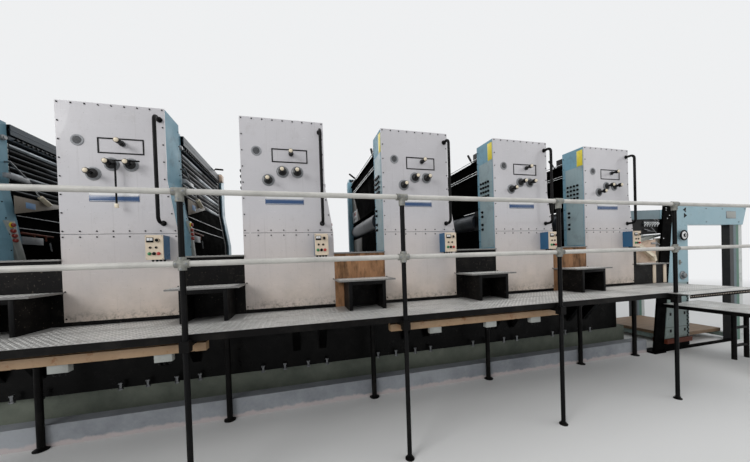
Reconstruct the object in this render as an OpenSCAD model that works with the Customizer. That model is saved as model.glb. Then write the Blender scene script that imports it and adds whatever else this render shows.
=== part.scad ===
// A sheet-fed offset printing press: a row of like printing units on a raised bed,
// an operator's walkway with a handrail along the front, and a feeder at the right end.
// X runs along the press towards the feeder, Y runs from the operator's side to the far side.
// Sizes are in millimetres, and the floor is z = 0.

/* [Printing units] */
// Distance from one unit to the next
unit_pitch = 1490; // [1440:10:1600]
// Width of a unit's front panel at the bottom
unit_w = 911; // [880:1:960]
// Width of a unit's front panel at the top
unit_top_w = 836; // [800:1:860]
// Height of a front panel from its foot to its top
unit_h = 1965; // [1920:5:2100]
// Height above the panel's foot of the seam between the two panels
seam_h = 782; // [770:1:800]
// Height above the panel's foot at which the right edge starts to slant
flare_h = 1286; // [1200:1:1350]
// Thickness of a front panel over its folded edges
panel_t = 14; // [10:1:20]
// Depth of the housing on the operator's side
hood_d = 335; // [300:5:360]
// Depth of the housing on the far side
far_hood_d = 180; // [150:5:220]
// Sheet thickness of the housings
hood_t = 8; // [4:1:12]

/* [Side frames] */
// Thickness of a side frame
frame_t = 130; // [100:5:150]
// Clear width between the two side frames
inner_w = 1465; // [1400:5:1600]
// Distance from a unit's edge to the edge of its side frame
frame_inset = 30; // [20:1:40]
// Distance from the top of the front panel down to the top of the side frame
frame_drop = 45; // [30:5:80]
// Diameter of the tie bars between the side frames
tie_d = 90; // [60:5:120]

/* [Impression cylinders] */
// Diameter of a cylinder's body
drum_d = 240; // [200:2:270]
// Diameter of its journals
journal_d = 110; // [90:2:130]
// Height of its axis above the panel's foot
drum_h = 972; // [960:1:990]
// Distance of its axis from the unit's left edge
drum_x = 112; // [105:1:130]
// Radial running clearance of a journal in its bore
journal_gap = 0.1; // [0.05:0.01:0.1]

/* [Ink rollers] */
// Number of rollers in a unit's bank
roller_count = 9; // [4:1:9]
// Diameter of a roller
roller_d = 50; // [36:1:52]
// Diameter of a roller's journals
roller_pin_d = 24; // [16:1:30]
// Distance between roller axes
roller_pitch = 56; // [54:1:60]

/* [Panel fittings] */
// Distance of the bare plate from the unit's left edge
plate_x = 223; // [200:1:260]
// Height of the bare plate above the panel's foot
plate_z = 1076; // [1050:1:1100]
// Width of the bare plate
plate_w = 385; // [360:1:400]
// Width of the framed hatch
hatch_w = 362; // [340:1:380]
// Height of the framed hatch
hatch_h = 143; // [130:1:160]
// Distance of the hatch from the unit's left edge
hatch_x = 300; // [290:1:310]
// Height of the hatch above the panel's foot
hatch_z = 1515; // [1510:1:1530]
// Width of the black border of the hatch
hatch_border = 11; // [8:1:16]
// Distance of the round vent from the unit's left edge
vent_x = 153; // [120:1:200]
// Height of the round vent above the panel's foot
vent_z = 1622; // [1580:1:1660]
// Diameter of a turn knob's rosette
rosette_d = 110; // [90:1:120]
// Distance that a turn knob stands out
knob_reach = 113; // [100:1:130]
// Diameter of a turn knob's grip
knob_d = 46; // [36:1:56]
// Diameter of the grab bar
grab_d = 32; // [26:1:38]
// Height of the grab bar between its ends
grab_h = 978; // [900:1:1000]
// Distance of the grab bar from the panel
grab_off = 110; // [90:1:130]
// Width of the control box
box_w = 138; // [120:1:140]
// Height of the control box
box_h = 222; // [200:1:225]
// Depth of the control box without its front plate
box_d = 130; // [100:1:150]

/* [Steps between units] */
// Height of the lower step above the walkway
step_h = 307; // [260:1:320]
// Height of the ledge above the walkway
ledge_h = 598; // [580:1:620]
// Depth of the lower step
step_d = 340; // [300:5:380]
// Width of the box under the lower step
step_box_w = 385; // [340:5:420]
// Thickness of the box's side walls
step_wall = 30; // [15:1:45]
// Thickness of a tread
tread_t = 15; // [10:1:20]

/* [Walkway] */
// Height of the walkway above the floor
deck_h = 1248; // [1200:1:1260]
// Depth of the walkway in front of the panels
deck_d = 770; // [700:5:775]
// Thickness of the walkway's tread plate
plate_t = 6; // [5:1:10]
// Height of the landing's folded front edge
nosing_h = 30; // [20:1:40]
// Height of the black edge bar
edge_h = 54; // [45:1:60]
// Height of the handrail above the walkway
rail_h = 1036; // [1000:1:1100]
// Height of the middle rail above the walkway
mid_h = 519; // [480:1:560]
// Diameter of the rails
rail_d = 42; // [38:1:48]
// Diameter of the posts
post_d = 40; // [38:1:48]
// Distance from one post to the next
post_pitch = 1690; // [1650:5:1700]
// Diameter of the legs under the inner edge of the walkway
leg_d = 60; // [50:1:76]

/* [Foundation] */
// Height of the kerb
kerb_h = 219; // [200:1:240]
// Thickness of the kerb
kerb_t = 148; // [120:1:160]
// Distance of the kerb from the panel's face
kerb_y = 412; // [400:1:430]
// Height of the plinth
plinth_h = 400; // [360:5:440]
// Distance of the plinth from the panel's face
plinth_y = 762; // [740:1:780]
// Drop from the walkway's top to the bed's top
bed_drop = 58; // [55:1:70]

/* [Feeder] */
// Length of the feeder's top beam beyond its column
feeder_reach = 1540; // [1500:5:1600]
// Height of the feeder
feeder_h = 2530; // [2500:5:2600]
// Depth of the feeder's top beam
feeder_beam_h = 340; // [300:5:380]
// Height of the operator's platform in front of the feeder
platform_h = 832; // [780:4:880]
// Length of the platform along the press
platform_l = 900; // [820:10:950]
// Diameter of the handwheel
wheel_d = 184; // [150:1:200]

// Width of the columns at the pile's far edge
hoist_w = 350; // [300:5:360]
// Thickness of the black column plates and of the arms behind them
arm_t = 25; // [20:1:30]
// Thickness of the feed table's side plates
side_t = 30; // [20:1:40]
// Thickness of the feed table
table_t = 30; // [20:1:40]
// Gap for the sheets between the feed table and the black head
head_gap = 46; // [30:1:60]

/* [Hidden] */
$fn = 48;

unit_count = 6;
eps = 0.01;
// gap left where one piece seats on another
seat = 0.3;

// heights above the floor
panel_z = deck_h + 36;
unit_z = panel_z + unit_h;
seam_z = panel_z + seam_h;
flare_z = panel_z + flare_h;
bed_z = deck_h - bed_drop;
ledge_z = deck_h + ledge_h;
step_z = deck_h + step_h;
frame_top = unit_z - frame_drop;
top_roller_z = frame_top - 214;
low_roller_z = top_roller_z - (roller_count - 1) * roller_pitch;

// places along Y
near_y = hood_d;
inner_y = near_y + frame_t;
far_y = inner_y + inner_w;
back_y = far_y + frame_t;
press_d = back_y + far_hood_d;
mid_line = (near_y + back_y) / 2;

// places along X
gap_w = unit_pitch - unit_w;
press_len = (unit_count - 1) * unit_pitch + unit_w;
left_x = -gap_w / 2;
deck_end = press_len + 639;
step_end = deck_end + 50;
landing_x = press_len - 660;
landing_d = 190;
column_x = press_len + 1200;
base_end = column_x - 296;
column_slant = 0.1125;
column_right = column_x + 640;
feeder_end = column_right + feeder_reach + 120;
hoist_x = feeder_end - 485;
block_h = 140;
foot_top = block_h + 75;
table_x = press_len + 40;
wheel_x = column_right - 171;
wheel_z = 2000;
wheel_pin = 24;
arm_x = press_len - 30;
arm_end = column_x + 190;
front_y = -deck_d - landing_d;
platform_x = column_x - 10;
leg_y = kerb_y - leg_d / 2 - seat;
post_y = -deck_d - 30;
first_post = 1013;
post_count = 6;
rail_end = first_post + (post_count - 1) * post_pitch + 60;

// the origin is under the middle of the whole press, on the floor
mid_x = (left_x + feeder_end) / 2;
mid_y = (front_y + press_d) / 2;

module placed() {
    translate([-mid_x, -mid_y, 0]) children();
}

module each_unit() {
    for (i = [0 : unit_count - 1]) translate([i * unit_pitch, 0, 0]) children();
}

module each_gap() {
    for (i = [0 : unit_count - 2]) translate([i * unit_pitch + unit_w, 0, 0]) children();
}

// extrudes an outline drawn in X and Z from y over the thickness t
module along_y(y, t) {
    translate([0, y + t, 0]) rotate([90, 0, 0]) linear_extrude(t) children();
}

// extrudes an outline drawn in Y and Z from x over the thickness t
module along_x(x, t) {
    translate([x, 0, 0]) rotate([90, 0, 90]) linear_extrude(t) children();
}

module rod_y(x, y, z, d, l) {
    translate([x, y, z]) rotate([-90, 0, 0]) cylinder(d = d, h = l);
}

module rod_x(x, y, z, d, l) {
    translate([x, y, z]) rotate([0, 90, 0]) cylinder(d = d, h = l);
}

// outline of a unit seen from the operator's side, between two heights
function edge_x(z) = z >= flare_z ? unit_top_w
    : z <= seam_z ? unit_w
    : unit_w - (unit_w - unit_top_w) * (z - seam_z) / (flare_z - seam_z);

module unit_outline(low, high, inset = 0) {
    knees = [for (z = [seam_z, flare_z]) if (z > low && z < high) [edge_x(z) - inset, z]];
    polygon(concat([[inset, low], [edge_x(low) - inset, low]], knees,
        [[edge_x(high) - inset, high], [inset, high]]));
}

// foundation
module concrete_kerb() {
    color("gainsboro") placed()
        for (y = [kerb_y, 2 * mid_line - kerb_y - kerb_t])
            translate([left_x, y, 0]) cube([base_end - left_x, kerb_t, kerb_h]);
}

module concrete_plinth() {
    color("darkseagreen") placed()
        translate([left_x, plinth_y, 0])
            cube([base_end - left_x, 2 * (mid_line - plinth_y), plinth_h]);
}

module machine_bed() {
    girder_y = plinth_y - 62;
    rib_t = 90;
    color("dimgray") placed() {
        translate([left_x, girder_y, plinth_h])
            cube([deck_end - left_x, 2 * (mid_line - girder_y), bed_z - plinth_h]);
        each_unit()
            for (x = [430, unit_w - 60 - rib_t])
                along_x(x, rib_t)
                    polygon([[near_y, bed_z], [near_y, bed_z - 120], [girder_y, plinth_h + 200],
                        [2 * mid_line - girder_y, plinth_h + 200],
                        [back_y, bed_z - 120], [back_y, bed_z]]);
    }
}

// side frames
module side_frame(y) {
    foot_top = ledge_z - tread_t;
    joint_gap = 1;
    difference() {
        union() {
            along_y(y, frame_t) polygon([[-gap_w / 2 + joint_gap, bed_z],
                [unit_w + gap_w / 2 - joint_gap, bed_z],
                [unit_w + gap_w / 2 - joint_gap, foot_top],
                [-gap_w / 2 + joint_gap, foot_top]]);
            along_y(y, frame_t) unit_outline(foot_top - eps, frame_top, frame_inset);
        }
        rod_y(drum_x, y - 1, panel_z + drum_h, journal_d + 2 * journal_gap, frame_t + 2);
    }
}

module near_side_frames() {
    color("cadetblue") placed() each_unit() side_frame(near_y);
}

module far_side_frames() {
    color("cadetblue") placed() each_unit() side_frame(far_y);
}

module tie_bars() {
    flange_t = 20;
    color("dimgray") placed() each_unit()
        for (p = [[unit_w / 2, bed_z + 160], [unit_w / 2, panel_z + 640],
                [unit_w / 2 - 120, frame_top - 185]]) {
            rod_y(p[0], inner_y, p[1], tie_d, inner_w);
            for (y = [inner_y, far_y - flange_t]) rod_y(p[0], y, p[1], tie_d + 60, flange_t);
        }
}

// panels and housings
module upper_front_panels() {
    color("whitesmoke") placed() each_unit() difference() {
        along_y(0, panel_t) unit_outline(seam_z + 2, unit_z);
        translate([hatch_x, -1, panel_z + hatch_z]) cube([hatch_w, panel_t + 2, hatch_h]);
    }
}

module lower_front_panels() {
    color("whitesmoke") placed() each_unit()
        along_y(0, panel_t) unit_outline(panel_z, seam_z - 2);
}

module side_hoods() {
    color("cadetblue") placed() each_unit() difference() {
        along_y(panel_t, hood_d - panel_t) unit_outline(panel_z + 6, unit_z);
        along_y(panel_t - 1, hood_d - panel_t + 2)
            unit_outline(panel_z, unit_z - hood_t, hood_t);
    }
}

module cover_plates() {
    plate_y = 24;
    plate_w = 262;
    plate_t2 = 4;
    knob_dia = 24;
    knob_pitch = 50;
    color("lightsteelblue") placed() each_unit() {
        translate([-plate_t2, plate_y, ledge_z + 20])
            cube([plate_t2, plate_w, unit_z - 262 - ledge_z - 20]);
        for (j = [0 : 3], k = [0 : 3])
            rod_x(-plate_t2 - 16, plate_y + 72 + j * knob_pitch,
                unit_z - 524 - 60 * k, knob_dia, 16 + eps);
    }
}

module rear_covers() {
    color("whitesmoke") placed() each_unit() difference() {
        along_y(back_y, far_hood_d) unit_outline(panel_z, unit_z);
        along_y(back_y - 1, far_hood_d - panel_t + 1)
            unit_outline(panel_z + panel_t, unit_z - panel_t, panel_t);
    }
}

module ink_duct_covers() {
    left = frame_inset;
    right = unit_top_w;
    sheet = 6;
    crest = frame_top - 14;
    band = 100;
    bar_w = 44;
    color("slategray") placed() each_unit() {
        along_y(inner_y, inner_w)
            polygon([[left, crest - 110], [left + 330, crest - 25], [right, crest],
                [right, crest - band], [right - sheet, crest - band],
                [right - sheet, crest - sheet], [left + 330, crest - 25 - sheet],
                [left, crest - 110 - sheet]]);
        translate([right - frame_inset - bar_w + 12, inner_y, crest - band - 52])
            cube([bar_w, inner_w, 40]);
    }
}

module hatch_frames() {
    color("black") placed() each_unit() difference() {
        translate([hatch_x, -3, panel_z + hatch_z]) cube([hatch_w, panel_t + 3, hatch_h]);
        translate([hatch_x + hatch_border, -4, panel_z + hatch_z + hatch_border])
            cube([hatch_w - 2 * hatch_border, panel_t + 5, hatch_h - 2 * hatch_border]);
    }
}

module hatch_doors() {
    color("whitesmoke") placed() each_unit()
        translate([hatch_x + hatch_border, 1, panel_z + hatch_z + hatch_border])
            cube([hatch_w - 2 * hatch_border, panel_t - 4, hatch_h - 2 * hatch_border]);
}

module round_vents() {
    color("gainsboro") placed() each_unit()
        translate([vent_x, 0, panel_z + vent_z]) rotate([90, 0, 0])
            rotate_extrude() polygon([[0, 0], [50, 0], [50, 4], [46, 6], [38, 6],
                [34, 3], [0, 3]]);
}

// each knob: place along X, height above the panel's foot, and the face that it stands on
knob_places = [[260, 1327, 0], [403, 1418, 0], [553, 1419, 0], [495, 1606, 1]];

module turn_knobs() {
    color("black") placed() each_unit() for (p = knob_places)
        translate([p[0], p[2], panel_z + p[1]]) rotate([90, 0, 0])
            rotate_extrude()
                polygon([[0, 0], [rosette_d / 2 * (p[2] > 0 ? 0.45 : 1), 0],
                    [rosette_d / 2 * (p[2] > 0 ? 0.45 : 1), 8], [26, 22], [15, 30],
                    [15, knob_reach - 50], [knob_d / 2, knob_reach - 42],
                    [knob_d / 2, knob_reach - 8], [0, knob_reach - 8]]);
}

module knob_caps() {
    color("wheat") placed() each_unit() for (p = knob_places)
        translate([p[0], p[2] - knob_reach + 8, panel_z + p[1]]) rotate([90, 0, 0])
            rotate_extrude() polygon([[0, 0], [20, 0], [18, 6], [10, 10], [0, 11]]);
}

module grab_bars() {
    bend = 50;
    low = panel_z + 879;
    flange = 8;
    color("black") placed() each_unit() translate([795, 0, low]) {
        for (z = [0, grab_h]) {
            rod_y(0, -grab_off + bend, z, grab_d, grab_off - bend);
            rod_y(0, -flange, z, grab_d + 20, flange);
        }
        translate([0, -grab_off, bend]) cylinder(d = grab_d, h = grab_h - 2 * bend);
        translate([0, -grab_off + bend, bend]) rotate([0, 90, 0]) rotate([0, 0, -90])
            rotate_extrude(angle = 90) translate([bend, 0]) circle(d = grab_d);
        translate([0, -grab_off + bend, grab_h - bend]) rotate([0, 90, 0]) rotate([0, 0, 180])
            rotate_extrude(angle = 90) translate([bend, 0]) circle(d = grab_d);
    }
}

module control_boxes() {
    color("steelblue") placed() each_unit()
        translate([700, -box_d, panel_z + 533]) cube([box_w, box_d, box_h]);
}

module control_faces() {
    face_t = 15;
    color("ivory") placed() each_unit() translate([700, -box_d, panel_z + 533]) {
        translate([0, -face_t, 0]) cube([box_w, face_t, box_h]);
        rod_y(96, -face_t - 14, box_h - 48, 34, 14 + eps);
        for (x = [38, 84]) rod_y(x, -face_t - 8, box_h - 112, 18, 8 + eps);
        for (x = [30, 66, 102]) rod_y(x, -face_t - 10, box_h - 168, 24, 10 + eps);
    }
}

module name_plates() {
    color("lightsteelblue") placed() each_unit()
        translate([plate_x, -3, panel_z + plate_z]) cube([plate_w, 3, 105]);
}

// steps between the units
module step_boxes() {
    post_w = 48;
    post_top = 800;
    color("black") placed() each_gap() {
        translate([1, 0, deck_h]) cube([gap_w - 2, 12, ledge_h - tread_t]);
        difference() {
            translate([(gap_w - step_box_w) / 2, -step_d + 20, deck_h])
                cube([step_box_w, step_d - 20, step_h - tread_t]);
            translate([(gap_w - step_box_w) / 2 + step_wall, -step_d + 19, deck_h - 1])
                cube([step_box_w - 2 * step_wall, step_d - 50, step_h - tread_t - 39]);
        }
    }
    color("black") placed() each_unit()
        translate([2, 2, deck_h]) cube([unit_w - 4, 10, panel_z - deck_h]);
    color("black") placed() translate([press_len + 12, 2, deck_h]) {
        cube([step_end - press_len - 12, near_y - 10, step_h - tread_t]);
        cube([post_w, post_w, post_top]);
    }
}

module step_treads() {
    color("darkgray") placed() each_gap() {
        translate([-6, -step_d, step_z - tread_t]) cube([gap_w + 12, step_d - 0.5, tread_t]);
        translate([1, -20, ledge_z - tread_t]) cube([gap_w - 2, back_y + 20, tread_t]);
    }
    color("darkgray") placed()
        translate([press_len + 65, -40, step_z - tread_t])
            cube([step_end + 10 - press_len - 65, near_y + 32, tread_t]);
}

// printing gear that shows through the gaps
module ink_rollers() {
    face_gap = 14;
    color("dimgray") placed() each_unit() for (k = [0 : roller_count - 1]) {
        z = top_roller_z - k * roller_pitch;
        x = edge_x(z) - frame_inset - roller_pin_d / 2 - 6;
        rod_y(x, inner_y, z, roller_pin_d, inner_w);
        rod_y(x, inner_y + face_gap, z, roller_d, inner_w - 2 * face_gap);
    }
}

module roller_guards() {
    sheet = 5;
    rail = 26;
    top = frame_top - 135;
    low = panel_z + drum_h + drum_d / 2 + 20;
    right_top = low_roller_z - roller_d / 2 - 15;
    right_in = frame_inset + 4;
    heights = [ledge_z, seam_z, right_top];
    color("black") placed() each_unit() {
        along_y(inner_y, inner_w)
            polygon(concat([for (z = heights) [edge_x(z) - right_in, z]],
                [for (k = [2 : -1 : 0]) [edge_x(heights[k]) - right_in - sheet, heights[k]]]));
        translate([frame_inset - sheet, near_y, low]) cube([sheet, back_y - near_y, top - low]);
        for (z = [top, top - 150])
            rod_y(frame_inset - sheet - rail / 2 + 3, near_y, z, rail, back_y - near_y);
        translate([frame_inset - sheet, near_y, ledge_z])
            cube([sheet, back_y - near_y, panel_z + drum_h - drum_d / 2 - 20 - ledge_z]);
    }
}

module impression_cylinder(i) {
    face_gap = 8;
    z = panel_z + drum_h;
    color("slategray") placed() translate([i * unit_pitch, 0, 0]) {
        rod_y(drum_x, near_y, z, journal_d, inner_w + 2 * frame_t);
        rod_y(drum_x, inner_y + face_gap, z, drum_d, inner_w - 2 * face_gap);
    }
}

// walkway
post_x = [for (k = [0 : post_count - 1]) first_post + k * post_pitch];
all_posts = concat([left_x + 60], post_x);
beam_x = concat([left_x + 60], [for (x = post_x) if (x < deck_end) x], [deck_end - 60]);
joint_w = 4;
rail_gap = 4;
joist_h = 80;
clamp_w = 66;

module deck_plates() {
    ends = concat([left_x], [for (x = post_x) if (x < deck_end - 200) x], [deck_end]);
    color("silver") placed() {
        for (k = [0 : len(ends) - 2])
            translate([ends[k] + joint_w / 2, -deck_d + plate_t, deck_h - plate_t])
                cube([ends[k + 1] - ends[k] - joint_w, deck_d - plate_t, plate_t]);
        difference() {
            union() {
                translate([landing_x, front_y, deck_h - plate_t])
                    cube([deck_end - landing_x, landing_d, plate_t]);
                translate([landing_x, front_y, deck_h - nosing_h])
                    cube([deck_end - landing_x, plate_t, nosing_h]);
            }
            for (x = post_x)
                translate([x, post_y, deck_h - plate_t - 1])
                    cylinder(d = post_d + 2 * seat, h = plate_t + 2);
        }
        translate([platform_x, front_y, platform_h - plate_t])
            cube([platform_l, near_y - front_y, plate_t]);
        translate([press_len + 12, joint_w, deck_h - plate_t])
            cube([deck_end - press_len - 12, near_y - 12, plate_t]);
    }
}

module deck_beams() {
    joist_w = 60;
    low = deck_h - plate_t - joist_h;
    color("black") placed() {
        difference() {
            union() {
                translate([left_x, -deck_d, deck_h - edge_h])
                    cube([deck_end - left_x, plate_t, edge_h]);
                for (x = beam_x)
                    translate([x - joist_w / 2, -deck_d + plate_t - eps, low])
                        cube([joist_w, deck_d + near_y - plate_t + eps, joist_h]);
                translate([left_x, -80, low]) cube([deck_end - left_x, joist_w, joist_h]);
                for (x = all_posts)
                    if (x < deck_end)
                        translate([x - clamp_w / 2, post_y - clamp_w / 2, low - 30])
                            cube([clamp_w, clamp_w, joist_h]);
            }
            for (x = all_posts)
                translate([x, post_y, low - 31])
                    cylinder(d = post_d + 2 * seat, h = joist_h + 2);
        }
        difference() {
            translate([platform_x, front_y, platform_h - plate_t - edge_h])
                cube([platform_l, near_y - front_y, edge_h]);
            translate([platform_x + plate_t, front_y + plate_t, platform_h - plate_t - edge_h - 1])
                cube([platform_l - 2 * plate_t, near_y - front_y - 2 * plate_t, edge_h + 2]);
        }
    }
}

module deck_legs() {
    platform_top = platform_h - plate_t;
    color("black") placed() {
        for (x = beam_x, y = [leg_y, 2 * mid_line - leg_y])
            translate([x, y, 0]) cylinder(d = leg_d, h = bed_z);
        for (p = [[60, -700], [platform_l - 60, -700], [platform_l - 370, -250],
                [platform_l - 60, -250]])
            translate([platform_x + p[0], p[1], 0]) cylinder(d = leg_d, h = platform_top);
        for (z = [200, 480])
            translate([platform_x + platform_l - 370, -270, z]) cube([310, 40, 30]);
    }
}

module rail_posts() {
    top = deck_h + rail_h - rail_d / 2 - seat;
    color("black") placed() for (x = all_posts)
        translate([x, post_y, 0]) cylinder(d = post_d, h = top);
}

module guard_rails() {
    color("whitesmoke") placed() {
        rod_x(left_x, post_y, deck_h + rail_h, rail_d, rail_end - left_x);
        for (k = [0 : len(all_posts) - 2])
            rod_x(all_posts[k] + post_d / 2 + rail_gap, post_y, deck_h + mid_h, rail_d,
                all_posts[k + 1] - all_posts[k] - post_d - 2 * rail_gap);
    }
}

module rail_fittings() {
    wall = 8;
    fit = 0.15;
    half = 48;
    y = post_y;
    color("darkgray") placed() for (x = all_posts) {
        difference() {
            union() {
                rod_x(x - half, y, deck_h + rail_h, rail_d + 2 * wall, 2 * half);
                translate([x, y, deck_h + rail_h - 75]) cylinder(d = post_d + 2 * wall, h = 75);
            }
            rod_x(x - half - 1, y, deck_h + rail_h, rail_d + 2 * fit, 2 * half + 2);
            translate([x, y, deck_h + rail_h - 76])
                cylinder(d = post_d + 2 * fit, h = 76 - rail_d / 2);
        }
        difference() {
            union() {
                rod_x(x - half, y, deck_h + mid_h, rail_d + 2 * wall, 2 * half);
                translate([x, y, deck_h + mid_h - half]) cylinder(d = post_d + 2 * wall, h = 2 * half);
            }
            for (s = [-1, 1])
                translate([x + s * (half + 1 + post_d / 2 + rail_gap) / 2, y, deck_h + mid_h])
                    rotate([0, 90, 0]) cylinder(d = rail_d + 2 * fit,
                        h = half + 1 - post_d / 2 - rail_gap, center = true);
            translate([x, y, deck_h + mid_h - half - 1])
                cylinder(d = post_d + 2 * fit, h = 2 * half + 2);
        }
    }
}

module drip_trays() {
    tray_w = 70;
    tray_h = 62;
    wall = 4;
    color("tan") placed() for (k = [0, 2]) {
        l = post_pitch + 200;
        translate([post_x[k] - 100, -690, deck_h - plate_t - joist_h - tray_h])
            difference() {
                cube([l, tray_w, tray_h]);
                translate([wall, wall, wall]) cube([l - 2 * wall, tray_w - 2 * wall, tray_h]);
            }
    }
}

// feeder
module feeder_frame_outline() {
    beam_z = feeder_h - feeder_beam_h;
    polygon([[column_x + column_slant * foot_top, foot_top], [column_right, foot_top],
        [column_right, beam_z],
        [feeder_end - 120, beam_z], [feeder_end, feeder_h],
        [column_x + column_slant * feeder_h, feeder_h]]);
}

module feeder_side_frames() {
    color("lightblue") placed() difference() {
        for (y = [near_y, back_y - frame_t]) along_y(y, frame_t) feeder_frame_outline();
        rod_y(wheel_x, near_y - 1, wheel_z, wheel_pin + 2 * journal_gap, frame_t / 2);
    }
}

module feeder_beams() {
    y0 = near_y + frame_t;
    l = back_y - near_y - 2 * frame_t;
    color("lightblue") placed() {
        translate([column_x + 400, y0, feeder_h - 230]) cube([160, l, 180]);
        translate([feeder_end - 420, y0, feeder_h - 230]) cube([160, l, 180]);
        translate([column_right - 100, y0, block_h - 80]) cube([100, l, 80]);
        translate([hoist_x, y0 - 10, block_h - 80]) cube([100, l + 20, 80]);
        translate([column_x + 80, near_y + 2 * arm_t, feeder_h - 200])
            cube([100, back_y - near_y - 4 * arm_t, 110]);
        for (y = [near_y + arm_t, back_y - 2 * arm_t])
            along_y(y, arm_t) polygon([[arm_x, feeder_h - 264], [arm_end, feeder_h - 236],
                [arm_end, feeder_h - 76], [arm_x, feeder_h - 130]]);
    }
}

module feeder_feet() {
    color("firebrick") placed() for (y = [near_y - 40, back_y - frame_t - 40])
        translate([column_x + 10, y, block_h])
            cube([column_right - column_x - 10, frame_t + 80, foot_top - block_h]);
}

module hoist_columns() {
    color("darkseagreen") placed() for (y = [near_y + 10, back_y - frame_t + 10])
        translate([hoist_x, y, 0]) cube([hoist_w, frame_t - 20, feeder_h - feeder_beam_h]);
}

module pile_board() {
    color("burlywood") placed()
        translate([column_right - 80, inner_y + 60, block_h])
            cube([hoist_x + 80 - column_right + 80, inner_w - 120, 60]);
}

module suction_head() {
    color("gray") placed()
        translate([column_right + 80, near_y + frame_t, feeder_h - feeder_beam_h + 20])
            cube([260, back_y - near_y - 2 * frame_t, 150]);
}

// black head that takes the sheets over from the feeder
module infeed_head() {
    right = column_x - 10;
    color("black") placed()
        translate([arm_x + 100, near_y + 2 * arm_t, table_z(right) + table_t + head_gap])
            cube([right - arm_x - 100, back_y - near_y - 4 * arm_t, 260]);
}

// height of the feed table's underside at x
function table_z(x) = bed_z + 570 + (x - table_x) * 0.18;

module feed_table() {
    end_x = column_x + 230;
    side_x = table_x + 600;
    color("lightgray") placed() {
        along_y(inner_y, inner_w)
            polygon([[table_x, table_z(table_x)], [end_x, table_z(end_x)],
                [end_x, table_z(end_x) + table_t], [table_x, table_z(table_x) + table_t]]);
        for (y = [inner_y - side_t, far_y])
            along_y(y - eps, side_t + 2 * eps)
                polygon([[side_x, table_z(side_x)], [side_x + 530, table_z(side_x + 530)],
                    [side_x + 530, table_z(side_x + 530) + 60],
                    [side_x + 60, table_z(side_x) + 75], [side_x, table_z(side_x) + 60]]);
    }
}

module infeed_columns() {
    w = 250;
    foot_w = 40;
    color("black") placed() {
        for (y = [near_y - foot_w, back_y - frame_t - foot_w])
            translate([column_x - w - foot_w, y, 0])
                cube([w + foot_w - 20, frame_t + 2 * foot_w, 30]);
        for (y = [near_y, back_y - frame_t])
            translate([column_x, y, 0]) cube([column_right - column_x, frame_t, block_h]);
        for (y = [near_y, back_y - 60])
            translate([column_right - eps, y, 0])
                cube([hoist_x - column_right + eps - seat, 60, 30]);
        for (y = [near_y, back_y - arm_t]) along_y(y, arm_t)
            polygon([[column_x - w, 0], [column_x - 20, 0],
                [column_x + column_slant * feeder_h - 1, feeder_h],
                [column_x + column_slant * feeder_h - 220, feeder_h]]);
    }
}

module infeed_cabinet() {
    x0 = press_len + gap_w / 2 + 2;
    x1 = column_x - 160;
    color("tan") placed() along_y(near_y, back_y - near_y)
        polygon([[x0, bed_z], [x1, bed_z], [x1, table_z(x1)], [x0, table_z(x0)]]);
}

module feeder_handwheel() {
    stand_off = 12;
    color("black") placed() {
        rod_y(wheel_x, near_y - stand_off - 1, wheel_z, wheel_pin, frame_t / 2 - 4);
        translate([wheel_x, near_y - stand_off, wheel_z]) rotate([90, 0, 0]) {
            rotate_extrude() translate([wheel_d / 2 - 12, 30]) circle(d = 24);
            cylinder(d = 56, h = 50);
            translate([0, 0, 24]) cylinder(d = wheel_d - 24, h = 10);
        }
    }
}

concrete_kerb();
concrete_plinth();
machine_bed();
near_side_frames();
far_side_frames();
tie_bars();
upper_front_panels();
lower_front_panels();
side_hoods();
cover_plates();
rear_covers();
ink_duct_covers();
hatch_frames();
hatch_doors();
round_vents();
turn_knobs();
knob_caps();
grab_bars();
control_boxes();
control_faces();
name_plates();
step_boxes();
step_treads();
ink_rollers();
roller_guards();
deck_plates();
deck_beams();
deck_legs();
rail_posts();
guard_rails();
rail_fittings();
drip_trays();
feeder_side_frames();
feeder_beams();
feeder_feet();
hoist_columns();
pile_board();
suction_head();
infeed_head();
feed_table();
infeed_columns();
infeed_cabinet();
feeder_handwheel();
impression_cylinder(0);  // impression_cylinder_1
impression_cylinder(1);  // impression_cylinder_2
impression_cylinder(2);  // impression_cylinder_3
impression_cylinder(3);  // impression_cylinder_4
impression_cylinder(4);  // impression_cylinder_5
impression_cylinder(5);  // impression_cylinder_6
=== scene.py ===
"""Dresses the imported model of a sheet-fed offset printing press.

The frame gives every node's place. Places in this file are written in millimetres in the press's
own axes: X from the first unit's left edge, Y from the front panels' face into the machine, and
Z from the floor. place() turns them into the row frame's metres.
"""

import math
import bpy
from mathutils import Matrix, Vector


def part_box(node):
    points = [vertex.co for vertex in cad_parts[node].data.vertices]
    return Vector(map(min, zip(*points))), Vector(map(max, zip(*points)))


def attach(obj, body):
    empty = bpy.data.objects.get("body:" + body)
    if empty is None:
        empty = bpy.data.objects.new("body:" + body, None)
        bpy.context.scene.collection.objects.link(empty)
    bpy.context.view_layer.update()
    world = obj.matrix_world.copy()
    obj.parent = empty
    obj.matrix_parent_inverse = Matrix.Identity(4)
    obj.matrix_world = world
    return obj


bl_info = {
    "name": "Offset printing press",
    "version": (1, 0, 0),
    "blender": (4, 5, 0),
    "location": "View3D > Sidebar > Press",
    "description": "Dresses the packed model of a sheet-fed offset printing press",
    "category": "Object",
}

import bmesh
import bpy
from mathutils import Matrix, Vector

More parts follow.
